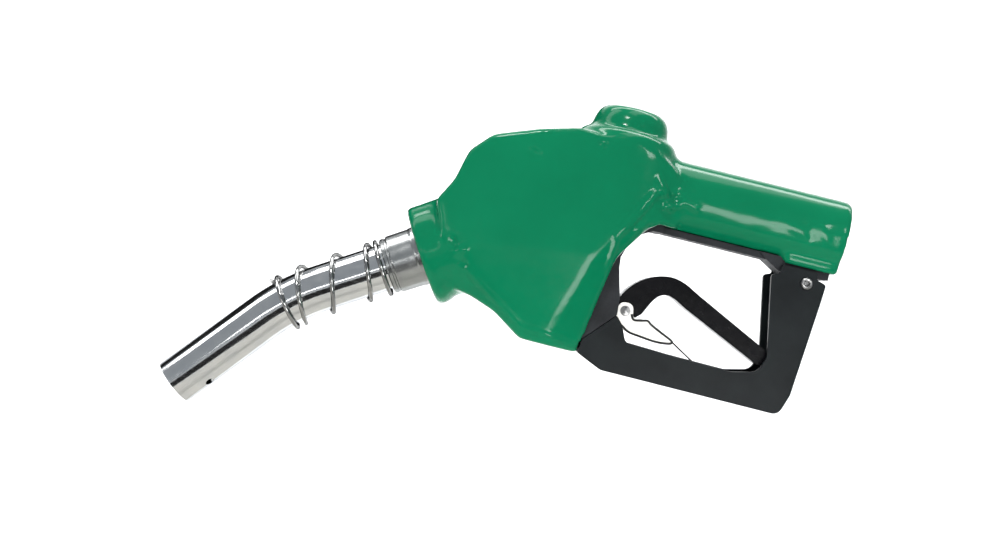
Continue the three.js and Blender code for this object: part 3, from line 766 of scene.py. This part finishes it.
# ---- lever guard ----------------------------------------------------------------------------
@dataclass
class LeverGuard:
    """The moulded hand guard: a U section bent round the lever."""

    half_width: float = 13.0
    inside_half_width: float = 10.3
    outline: list[Corner] = field(default_factory=lambda: [
        (-117.2, -88.8, 0.5), (-111, -91.6, 2), (-104, -94.6, 6), (-12, -95, 5), (-8.4, -84, 6),
        (-4.6, -34, 6), (-4.2, -26, 1.5), (-9.3, -24.4, 0.6), (-9.6, -21, 0.6), (-27.6, -21, 0.6),
        (-28.4, -25.8, 1), (-32.2, -27, 2.5), (-24.2, -68, 6), (-27, -76.4, 6), (-40, -79.6, 8),
        (-70, -79.2, 10), (-95, -78.2, 4), (-98.6, -70, 4), (-102.2, -66.1, 0.5),
        (-116.4, -81.7, 0.5)])
    inside: list[Corner] = field(default_factory=lambda: [
        (-121, -83.9, 0), (-113.5, -86.2, 0), (-104.5, -91.4, 3), (-15.5, -92, 4),
        (-11.4, -84, 5), (-7.7, -34, 5), (-7.7, -15, 0), (-60, -15, 0), (-121, -60, 0)])
    rack: tuple[float, ...] = (-97.0, -90.0, -83.0)

    def build(self) -> bpy.types.Object:
        """Build the guard in one piece.

        Returns:
            The finished guard.
        """
        guard = plate("lever_guard_shell", rounded(self.outline, 8), self.half_width, 1.5, 4)
        combine(guard, plate("cut", rounded(self.inside), self.inside_half_width), Cut.TAKE)
        combine(guard, block("tongue", vec(-142.6, -86.3, -9.5), vec(-112, -83.9, 9.5)), Cut.JOIN)
        for x in self.rack:
            step = plate("step", [(x, -92.6), (x, -89.4), (x + 1.2, -89.4), (x + 5, -92.6)], 7.3)
            combine(guard, step, Cut.JOIN)
        combine(guard, rod("cut", 2.5, vec(-14, -27.5, -20), vec(-14, -27.5, 20)), Cut.TAKE)
        for side in (-1, 1):
            combine(guard, rod("cut", 2.2, vec(-139, -90, 5.5 * side), vec(-139, -80, 5.5 * side)),
                    Cut.TAKE)
        round_edges(guard, 0.35, 2, 40)
        return guard

    def dress(self, guard: bpy.types.Object, palette: Palette) -> None:
        """Paint the guard and put it on the body.

        Args:
            guard: the finished guard.
            palette: hands out its material.
        """
        shade(guard)
        palette.paint(guard, GUARD_PLASTIC)
        place(guard, "nozzle_body", ["lever_guard"], "guard_plastic")


# ---- lever ----------------------------------------------------------------------------------
@dataclass
class SqueezeLever:
    """The squeeze lever, glossy and round-edged."""

    half_width: float = 7.5
    outline: list[Corner] = field(default_factory=lambda: [
        (-103.4, -57.6, 2), (-99.6, -50.6, 30), (-93.6, -45, 30), (-86.6, -41.6, 30),
        (-79, -40.2, 30), (-72, -42.0, 24), (-64, -46.2, 60),
        (-26, -64.4, 3), (-22.6, -67.4, 2), (-24.2, -73.0, 2.5), (-28, -73.0, 3), (-70, -54, 20),
        (-75, -51.2, 14), (-80, -49.6, 12), (-84.2, -51.6, 9), (-87, -56, 12), (-90, -62.4, 3),
        (-94.4, -66.4, 2), (-99, -67.2, 3),
        (-106, -73.4, 5), (-118, -74.6, 5), (-131, -77.2, 5), (-136.5, -72.6, 5),
        (-132, -66.6, 4), (-120, -63.4, 4), (-114.2, -64.8, 1.5), (-112.4, -66.6, 1),
        (-108.6, -66.4, 1.5), (-105.8, -63.0, 2)])

    def build(self) -> bpy.types.Object:
        """Build the lever with its bosses and pin holes.

        Returns:
            The finished lever.
        """
        arm = plate("squeeze_lever", rounded(self.outline, 6), self.half_width, 3.6, 6)
        half = self.half_width
        for radius, x, z in ((5.6, -117.5, -68.0), (5.5, -132.0, -72.0)):
            combine(arm, rod("boss", radius, vec(x, z, -half), vec(x, z, half)), Cut.JOIN)
        for radius, x, z in ((2.5, -132.0, -72.0), (2.3, -98.5, -62.7)):
            combine(arm, rod("cut", radius, vec(x, z, -20), vec(x, z, 20)), Cut.TAKE)
        return arm

    def dress(self, arm: bpy.types.Object, palette: Palette) -> None:
        """Paint the lever and put it on its body.

        Args:
            arm: the finished lever.
            palette: hands out its material.
        """
        shade(arm)
        palette.paint(arm, LEVER_PLASTIC)
        place(arm, "lever_side", ["lever"], "lever_plastic")


# ---- hold-open latch ------------------------------------------------------------------------
@dataclass
class HoldOpenLatch:
    """The pressed latch that straddles the lever, its rivet and its wire spring."""

    inside_half_width: float = 7.9
    sheet: float = 1.3
    outline: list[Corner] = field(default_factory=lambda: [
        (-103.0, -62.7, 3), (-101.4, -58.6, 3), (-95.4, -58.4, 3), (-94.0, -64.6, 1.5),
        (-90.6, -65.8, 1.5), (-88, -64.6, 1.5), (-85, -66.0, 2), (-78, -69.4, 3),
        (-72.4, -71.0, 0.8), (-72.4, -73.4, 0.8), (-80, -74.4, 4), (-90, -73.6, 4),
        (-95, -72.9, 3), (-98.4, -70.6, 3), (-102.2, -66.4, 3)])
    leg_line: tuple[Corner, ...] = (
        (-72.6, -72.0, -9.2), (-71.0, -72.8, -8.4), (-66, -75.6, -6.5), (-59, -79.6, -5.5))
    inside: list[Corner] = field(default_factory=lambda: [
        (-110, -50, 0), (-110, -76, 0), (-95.6, -76, 0), (-94.6, -71.4, 0), (-90, -72.1, 0),
        (-80, -73.0, 0), (-76, -72.7, 0), (-76, -50, 0)])

    def build(self) -> bpy.types.Object:
        """Build the latch from bent sheet.

        Returns:
            The finished latch.
        """
        half_width = self.inside_half_width + self.sheet
        latch = plate("latch_strap", rounded(self.outline, 5), half_width, 0.4, 2)
        combine(latch, plate("cut", rounded(self.inside), self.inside_half_width), Cut.TAKE)
        combine(latch, block("cut", vec(-90, -70.6, 2), vec(-70, -60, 4)), Cut.TAKE)
        combine(latch, rod("cut", 2.1, vec(-98.5, -62.7, -20), vec(-98.5, -62.7, 20)), Cut.TAKE)
        return latch

    def rivet(self) -> bpy.types.Object:
        """Build the rivet, with a domed head on each side.

        Returns:
            The finished rivet.
        """
        end = self.inside_half_width + self.sheet
        return turned("latch_rivet_dome", [
            (0, -end - 0.5), (0.8, -end - 0.5), (1.1, -end - 0.38), (1.8, -end - 0.34),
            (2.6, -end - 0.16), (2.6, -end - 0.05), (1.9, -end), (1.9, end), (2.6, end + 0.05),
            (2.6, end + 0.16), (1.8, end + 0.34), (1.1, end + 0.38), (0.8, end + 0.5), (0, end + 0.5)],
            vec(-98.5, -62.7), ACROSS, 40)

    def clip(self) -> bpy.types.Object:
        """Build the bent wire that runs round the latch's edges; it is near black, so it also paints
        the shade along those edges.

        Returns:
            The finished clip.
        """
        rim = [
            (-95.0, -63.6), (-93.4, -66.0), (-89.8, -65.6), (-86.4, -64.9), (-84, -66.4), (-78, -69.2),
            (-73.0, -71.4), (-72.0, -72.4), (-73.2, -73.5), (-80, -74.2), (-89, -73.4), (-94.5, -72.6),
            (-98.6, -70.2)]
        return wire("latch_wire", smooth_path([vec(x, z, -9.25) for x, z in rim], 6), 0.62, 3)

    def leg(self) -> bpy.types.Object:
        """Build the free leg of the wire, which bears on the guard."""
        path = smooth_path([vec(x, z, y) for x, z, y in self.leg_line], 6)
        return wire("latch_wire_leg", path, 0.42, 3)

    def dress(self, pieces: Sequence[bpy.types.Object], palette: Palette) -> None:
        """Paint the latch, rivet and wire, and put them on their bodies.

        Args:
            pieces: the latch, its rivet, the wire's clip and the wire's leg.
            palette: hands out their materials.
        """
        latch, rivet, clip, leg = pieces
        # The clip's near-black finish is partly the wire's own colour and partly painted shade along
        # the latch's edges.
        finishes = (BRIGHT_STEEL, PLAIN_STEEL, WIRE_AND_EDGE_SHADE, WIRE_AND_EDGE_SHADE)
        for piece, finish in zip(pieces, finishes):
            shade(piece)
            palette.paint(piece, finish)
        place(latch, "hold_open", ["hold_open_latch"], "bright_steel")
        place(rivet, "lever_side", ["latch_rivet"], "bright_steel")
        place(clip, "hold_open", ["latch_spring"], "spring_steel")
        place(leg, "hold_open", [], "spring_steel")
        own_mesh(leg)


def smooth_path(knots: Sequence[Vector], steps: int) -> list[Vector]:
    """A smooth path through points.

    Args:
        knots: the points.
        steps: path points laid between each two of them.

    Returns:
        The path's points.
    """
    path: list[Vector] = []
    for n in range(len(knots) - 1):
        a, b = knots[max(n - 1, 0)], knots[n]
        c, d = knots[n + 1], knots[min(n + 2, len(knots) - 1)]
        for k in range(steps):
            t = k / steps
            path.append(0.5 * ((2 * b) + (c - a) * t + (2 * a - 5 * b + 4 * c - d) * t * t
                               + (3 * b - a - 3 * c + d) * t ** 3))
    return [*path, knots[-1]]


# ---- spout ----------------------------------------------------------------------------------
@dataclass
class SpoutLine:
    """Centre line of the spout: straight, one bend, straight."""

    bend_radius: float = 0.110

    def __post_init__(self) -> None:
        """Work out where the bend lies."""
        across = SPOUT_OUT.x * TIP_WAY.z - SPOUT_OUT.z * TIP_WAY.x
        reach = SPOUT_TIP - MOUTH
        to_corner = (reach.x * TIP_WAY.z - reach.z * TIP_WAY.x) / across
        self.corner = MOUTH + SPOUT_OUT * to_corner
        half = (TIP_SLOPE - SPOUT_SLOPE) / 2
        cut = self.bend_radius * math.tan(half)
        self.first = to_corner - cut
        self.arc = self.bend_radius * 2 * half
        self.last = (SPOUT_TIP - self.corner).length - cut
        self.length = self.first + self.arc + self.last
        self.down = SPOUT_OUT.cross(ACROSS)
        self.centre = self.corner - SPOUT_OUT * cut + self.down * self.bend_radius

    def at(self, s: float) -> tuple[Vector, Vector]:
        """The point a length past the mouth, and the way the spout runs there.

        Args:
            s: length past the mouth, in metres; less than nought is inside.

        Returns:
            The point and the direction.
        """
        if s <= self.first:
            return MOUTH + SPOUT_OUT * s, SPOUT_OUT.copy()
        angle = min((s - self.first) / self.bend_radius, self.arc / self.bend_radius)
        turn = Matrix.Rotation(-angle, 3, "Y")
        along = turn @ SPOUT_OUT
        spot = self.centre - (turn @ self.down) * self.bend_radius
        return spot + along * max(0.0, s - self.first - self.arc), along


@dataclass
class Spout:
    """The bent spout, its bushing, sensing port and coil."""

    radius: float = 11.9
    wall: float = 1.5
    port_turn: float = math.radians(25.0)
    coil_start: float = 20.4
    coil_radius: float = 13.9
    coil_run: tuple[Point, ...] = (
        (-0.5, 0.0), (0.0, 0.0), (0.5, 0.6), (1.0, 4.3), (1.5, 11.0), (2.0, 21.0), (2.5, 31.0),
        (3.0, 39.0), (3.5, 48.0), (4.0, 50.6), (4.5, 53.4), (5.0, 54.0))
    line: SpoutLine = field(default_factory=SpoutLine)

    def tube(self) -> bpy.types.Object:
        """Build the spout with rounded lips and the sensing port.

        Returns:
            The finished spout.
        """
        start, end = -0.012, self.line.length
        lengths = [start + (end - start) * k / 96 for k in range(97)]
        outer = wire("spout", [self.line.at(s)[0] for s in lengths], self.radius, 22)
        tip, way = self.line.at(end)
        inner_lengths = [start - 0.004, *lengths, end + 0.004]
        bore = wire("cut", [self.line.at(s)[0] for s in inner_lengths], self.radius - self.wall, 22)
        combine(outer, bore, Cut.TAKE)
        port, along = self.line.at(end - 0.0157)
        below = Matrix.Rotation(self.port_turn, 3, along) @ along.cross(ACROSS)
        combine(outer, rod("cut", 2.3, port, port + below * 0.02, 32), Cut.TAKE)
        round_edges(outer, 0.5, 3, 50)
        return outer

    def bushing(self) -> bpy.types.Object:
        """Build the ferrule between the mouth and the spout.

        Returns:
            The finished ferrule.
        """
        bore = self.radius + 0.2
        return turned("spout_ferrule", [
            (bore, 17), (13.2, 17), (14.2, 15.6), (14.2, 1), (15.3, 0.6), (15.3, -1.6), (15.1, -2.2),
            (14.9, -3.0), (14.8, -14.0), (14.6, -14.6), (13.9, -15.0), (13.9, -15.8),
            (14.3, -16.2), (14.2, -17.6), (13.7, -18.2), (12.6, -18.3), (bore, -17.8)],
            MOUTH, SPOUT_IN, 96)

    def coil(self) -> bpy.types.Object:
        """Build the coil wound round the spout, close at its ends and open between.

        Returns:
            The finished coil.
        """
        knots = [Vector((turn, run, 0.0)) for turn, run in self.coil_run]
        path = []
        for turn, run, _ in smooth_path(knots, 20):
            spot, along = self.line.at((self.coil_start + run) * MM)
            angle = 2 * math.pi * turn
            out = along.cross(ACROSS) * math.cos(angle) + ACROSS * math.sin(angle)
            path.append(spot - out * self.coil_radius * MM)
        return wire("spout_coil", path, 1.05, 4)

    def dress(self, pieces: Sequence[bpy.types.Object], palette: Palette) -> None:
        """Paint the spout, ferrule and coil, and put them on the body.

        Args:
            pieces: the spout, its ferrule and its coil.
            palette: hands out their materials.
        """
        tube, bushing, coil = pieces
        for piece, finish in ((tube, SPOUT_METAL), (bushing, TURNED_METAL), (coil, SPRING_STEEL)):
            shade(piece)
            palette.paint(piece, finish)
        place(tube, "nozzle_body", ["spout_tube"], "spout_metal")
        place(bushing, "nozzle_body", ["spout_bushing"], "machined_alloy")
        place(coil, "nozzle_body", ["spout_anchor_spring"], "spring_steel")


# ---- casting and fasteners ------------------------------------------------------------------
@dataclass
class Casting:
    """The dark casting, its inlet thread and the guard's rear screw."""

    thread_radius: float = 12.1
    thread_pitch: float = 1.81

    def thread(self) -> bpy.types.Object:
        """Build the pipe thread just inside the inlet.

        Returns:
            The finished thread.
        """
        profile: list[Point] = []
        height = -0.6
        outer = self.thread_radius - 0.05
        profile.append((outer, height))
        while height > -19:
            profile.append((outer - 1.1, height - self.thread_pitch / 2))
            profile.append((outer - 0.1, height - self.thread_pitch))
            height -= self.thread_pitch
        profile.append((outer, height))
        return turned("inlet_thread", profile, vec(0, 0), ALONG_GRIP, 72)

    def rear_screw(self) -> bpy.types.Object:
        """Build the guard's rear screw, with a hollow head.

        Returns:
            The finished screw.
        """
        return turned("guard_rear_screw", [
            (0, -12.6), (1.3, -12.6), (1.3, -14.3), (1.6, -14.75), (2.3, -14.85), (2.85, -14.5),
            (2.95, -14.1), (2.95, -13.25), (1.9, -13.2), (1.9, 16.0), (1.5, 16.4), (0, 16.4)],
            vec(-14, -27.5), ACROSS, 40)

    def skin(self) -> bpy.types.Object:
        """Copy the frame's casting, ease its web for the squeezed lever and round its edges.

        Returns:
            The finished casting.
        """
        activate(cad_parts["body_casting"])
        bpy.ops.object.duplicate()
        skin = bpy.context.object
        skin.name = "casting_skin"
        face_out(skin)
        combine(skin, block("cut", vec(-112.4, -58, -8.3), vec(-106.5, -33, 8.3)), Cut.TAKE)
        round_edges(skin, 0.45, 2, 38)
        return skin

    def dress(self, pieces: Sequence[bpy.types.Object], palette: Palette) -> None:
        """Paint the casting, thread and screw, and put them on the body.

        Args:
            pieces: the casting, the inlet's thread and the guard's rear screw.
            palette: hands out their materials.
        """
        skin, thread, screw = pieces
        shade(skin)
        palette.paint(skin, DARK_CASTING)
        place(skin, "nozzle_body", ["body_casting"], "casting")
        shade(thread, 20)
        shade(screw)
        palette.paint(thread, TURNED_METAL)
        palette.paint(screw, PLAIN_STEEL)
        place(thread, "nozzle_body", [], "machined_alloy")
        place(screw, "nozzle_body", ["guard_screw_rear"], "plain_steel")


# ---- inner springs --------------------------------------------------------------------------
@dataclass(frozen=True)
class InnerSpring:
    """A coil spring inside the nozzle."""

    node: str
    joint: str
    way: Vector
    held_end: Vector
    keep: float

    def build(self) -> bpy.types.Object:
        """Copy the frame's spring.

        Returns:
            The finished spring.
        """
        activate(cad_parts[self.node])
        bpy.ops.object.duplicate()
        coil = bpy.context.object
        coil.name = f"{self.node}_coil"
        face_out(coil)
        return coil

    def dress(self, coil: bpy.types.Object, palette: Palette) -> None:
        """Paint the spring and put it on the body.

        Args:
            coil: the finished spring.
            palette: hands out its material.
        """
        shade(coil, 60)
        palette.paint(coil, SPRING_STEEL)
        place(coil, "nozzle_body", [self.node], "spring_steel")
        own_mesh(coil)


INNER_SPRINGS = (
    InnerSpring("main_spring", "valve_lift", UP, vec(-117.5, 27.9), 0.82),
    InnerSpring("plunger_spring", "plunger_drop", PLUNGER_UP, vec(-141.9, -52.1), 0.70),
    InnerSpring("diaphragm_spring", "trip_lift", PLUNGER_UP, vec(-165.7, -4.6), 0.79),
    InnerSpring("check_spring", "check_open", SPOUT_IN, vec(-187.1, -49.0), 0.52),
)

NODE_FINISHES: dict[str, Finish] = {
    "valve_cap": TURNED_METAL,
    "diaphragm_cap": TURNED_METAL,
    "sensing_tube": TURNED_METAL,
    "plunger": PLAIN_STEEL,
    "fulcrum_pin": PLAIN_STEEL,
    "guard_nut_rear": PLAIN_STEEL,
    "guard_screw_front_1": PLAIN_STEEL,
    "guard_screw_front_2": PLAIN_STEEL,
    "diaphragm_screw_1": PLAIN_STEEL,
    "diaphragm_screw_2": PLAIN_STEEL,
    "diaphragm_screw_3": PLAIN_STEEL,
    "diaphragm_screw_4": PLAIN_STEEL,
    "valve_stem": BRIGHT_STEEL,
    "tripping_pin": BRIGHT_STEEL,
    "inlet_strainer": BRIGHT_STEEL,
    "latch_ball_1": BRIGHT_STEEL,
    "latch_ball_2": BRIGHT_STEEL,
    "latch_ball_3": BRIGHT_STEEL,
    "main_seat_ring": BRASS,
    "poppet_holder": BRASS,
    "packing_nut": BRASS,
    "check_stop": BRASS,
    "check_poppet": BRASS,
    "plunger_insert": BRASS,
    "valve_cap_seal": SEAL_RUBBER,
    "poppet_disc": SEAL_RUBBER,
    "stem_packing": SEAL_RUBBER,
    "spout_seal": SEAL_RUBBER,
    "diaphragm": SEAL_RUBBER,
}


# ---- studio ---------------------------------------------------------------------------------
@dataclass
class Studio:
    """Camera, floor, backdrop and lights."""

    centre: Vector = field(default_factory=lambda: vec(-166.8, -62.4))
    distance: float = 0.78
    width: float = 0.5039
    roll: float = math.radians(14.0)
    floor: float = -0.27

    def camera(self) -> None:
        """Stand the camera square to the nozzle's side."""
        data = bpy.data.cameras.new("camera")
        data.sensor_width = 36.0
        data.lens = 36.0 * self.distance / self.width
        data.clip_start = 0.01
        camera = bpy.data.objects.new("camera", data)
        bpy.context.scene.collection.objects.link(camera)
        right = Vector((math.cos(self.roll), 0.0, math.sin(self.roll)))
        up = Vector((-math.sin(self.roll), 0.0, math.cos(self.roll)))
        turn = Matrix((right, up, Vector((0.0, -1.0, 0.0)))).transposed().to_4x4()
        spot = self.centre - ACROSS * self.distance
        camera.matrix_world = Matrix.Translation(spot) @ turn
        bpy.context.scene.camera = camera

    def stage(self, palette: Palette) -> None:
        """Lay a pale floor that sweeps up into a backdrop.

        Args:
            palette: hands out its material.
        """
        deselect()
        reach, climb, steps = 0.55, 0.5, 12
        profile = [(-3.0, 0.0), (reach, 0.0)]
        for k in range(1, steps + 1):
            angle = math.radians(90.0 * k / steps)
            profile.append((reach + climb * math.sin(angle), climb - climb * math.cos(angle)))
        profile.append((reach + climb, 3.0))
        bpy.ops.mesh.primitive_plane_add(size=1.0)
        sweep = bpy.context.object
        sweep.name = "stage_sweep"
        for vertex in sweep.data.vertices:
            y, z = profile[0] if vertex.co.y < 0 else profile[1]
            vertex.select = vertex.co.y > 0
            vertex.co = Vector((-3.5 if vertex.co.x < 0 else 3.2, y, self.floor + z))
        for part in (*sweep.data.edges, *sweep.data.polygons):
            part.select = False
        bpy.ops.object.mode_set(mode="EDIT")
        for (y, z), (next_y, next_z) in zip(profile[1:], profile[2:]):
            step = (0.0, next_y - y, next_z - z)
            bpy.ops.mesh.extrude_region_move(TRANSFORM_OT_translate={"value": step})
        bpy.ops.object.mode_set(mode="OBJECT")
        shade(sweep, 80)
        palette.paint(sweep, STAGE_WHITE)

    def lamp(self, name: str, spot: Vector, aim: Vector, size: tuple[float, float], power: float,
             tint: tuple[float, float, float] = (1.0, 1.0, 1.0)) -> None:
        """Hang one soft box.

        Args:
            name: the light's name.
            spot: where it hangs.
            aim: what it points at.
            size: its two sides, in metres.
            power: in watts.
            tint: its colour.
        """
        data = bpy.data.lights.new(name, "AREA")
        data.shape = "RECTANGLE"
        data.size, data.size_y = size
        data.energy = power
        data.color = tint
        lamp = bpy.data.objects.new(name, data)
        lamp.location = spot
        lamp.rotation_mode = "QUATERNION"
        lamp.rotation_quaternion = (aim - spot).to_track_quat("-Z", "Y")
        bpy.context.scene.collection.objects.link(lamp)

    def flag(self, name: str, spot: Vector, aim: Vector, size: tuple[float, float],
             palette: Palette, finish: Finish) -> None:
        """Hang a card that only shows as a reflection in bright metal.

        Args:
            name: the card's name.
            spot: where it hangs.
            aim: what it faces.
            size: its two sides, in metres.
            palette: hands out its material.
            finish: its finish.
        """
        deselect()
        turn = (aim - spot).to_track_quat("Z", "Y")
        bpy.ops.mesh.primitive_plane_add(size=1.0, location=spot, rotation=turn.to_euler())
        card = bpy.context.object
        card.name = name
        card.scale = (*size, 1.0)
        settle(card)
        palette.paint(card, finish)
        card.visible_camera = False
        card.visible_diffuse = False
        card.visible_shadow = False

    def flags(self, palette: Palette) -> None:
        """Hang the cards.

        Args:
            palette: hands out their materials.
        """
        low = self.floor + 0.002
        self.flag("flag_front", Vector((-0.2, -0.62, low)), Vector((-0.2, -0.62, 1.0)), (1.6, 0.68),
                  palette, FLAG_BLACK)
        self.flag("flag_under", Vector((-0.2, -0.07, low)), Vector((-0.2, -0.07, 1.0)), (1.6, 0.4),
                  palette, FLAG_GREY)
        self.flag("flag_back", Vector((-0.50, 0.36, 0.11)), vec(-260, -110), (0.8, 0.26),
                  palette, FLAG_BLACK)

    def lights(self) -> None:
        """Hang the soft boxes and set the dim surroundings."""
        aim = self.centre
        self.lamp("key", Vector((-0.45, -0.75, 0.75)), aim, (0.16, 0.12), 5.5)
        self.lamp("fill", Vector((0.45, -1.0, 0.35)), aim, (0.16, 0.3), 3.0)
        self.lamp("top", Vector((-0.05, -0.05, 0.9)), aim, (0.9, 0.3), 3.0)
        self.lamp("side_top", Vector((-0.80, -0.05, 0.52)), vec(-260, -110), (0.25, 0.75), 2.5)
        self.lamp("spout_strip", Vector((-0.40, -1.0, -0.09)), vec(-250, -100), (0.34, 0.03), 0.2)
        self.lamp("grip_glow", Vector((0.03, -0.5, -0.18)), vec(-50, -3), (0.18, 0.11), 0.8)
        self.lamp("low_front", Vector((-0.62, -0.55, -0.2)), vec(-165, -80), (0.1, 0.1), 0.3)
        self.lamp("back_wash", Vector((-0.15, 0.35, 0.9)), Vector((-0.15, 1.0, 0.1)), (1.6, 0.4), 20.0)
        world = bpy.data.worlds.new("surroundings")
        world.use_nodes = True
        world.node_tree.nodes["Background"].inputs["Color"].default_value = (0.86, 0.93, 1.0, 1.0)
        world.node_tree.nodes["Background"].inputs["Strength"].default_value = 0.36
        bpy.context.scene.world = world
        bpy.context.scene.view_settings.view_transform = "Standard"


def corners(box: tuple[Vector, Vector]) -> list[list[float]]:
    """The lowest and highest corner of a box as plain lists of numbers."""
    return [[float(number) for number in corner] for corner in box]


def main() -> None:
    """Build every piece in order and dress the scene."""
    logging.basicConfig(level=logging.INFO)
    palette = Palette()
    studio = Studio()
    studio.camera()
    for name, finish in NODE_FINISHES.items():
        palette.paint(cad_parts[name], finish)
    cover = SoftCover()
    cover.dress(cover.build(), palette)
    guard = LeverGuard()
    guard.dress(guard.build(), palette)
    arm = SqueezeLever()
    arm.dress(arm.build(), palette)
    latch = HoldOpenLatch()
    latch.dress((latch.build(), latch.rivet(), latch.clip(), latch.leg()), palette)
    spout = Spout()
    spout.dress((spout.tube(), spout.bushing(), spout.coil()), palette)
    casting = Casting()
    casting.dress((casting.skin(), casting.thread(), casting.rear_screw()), palette)
    for spring in INNER_SPRINGS:
        spring.dress(spring.build(), palette)
    studio.stage(palette)
    studio.flags(palette)
    studio.lights()


if __name__ == "__main__":
    main()
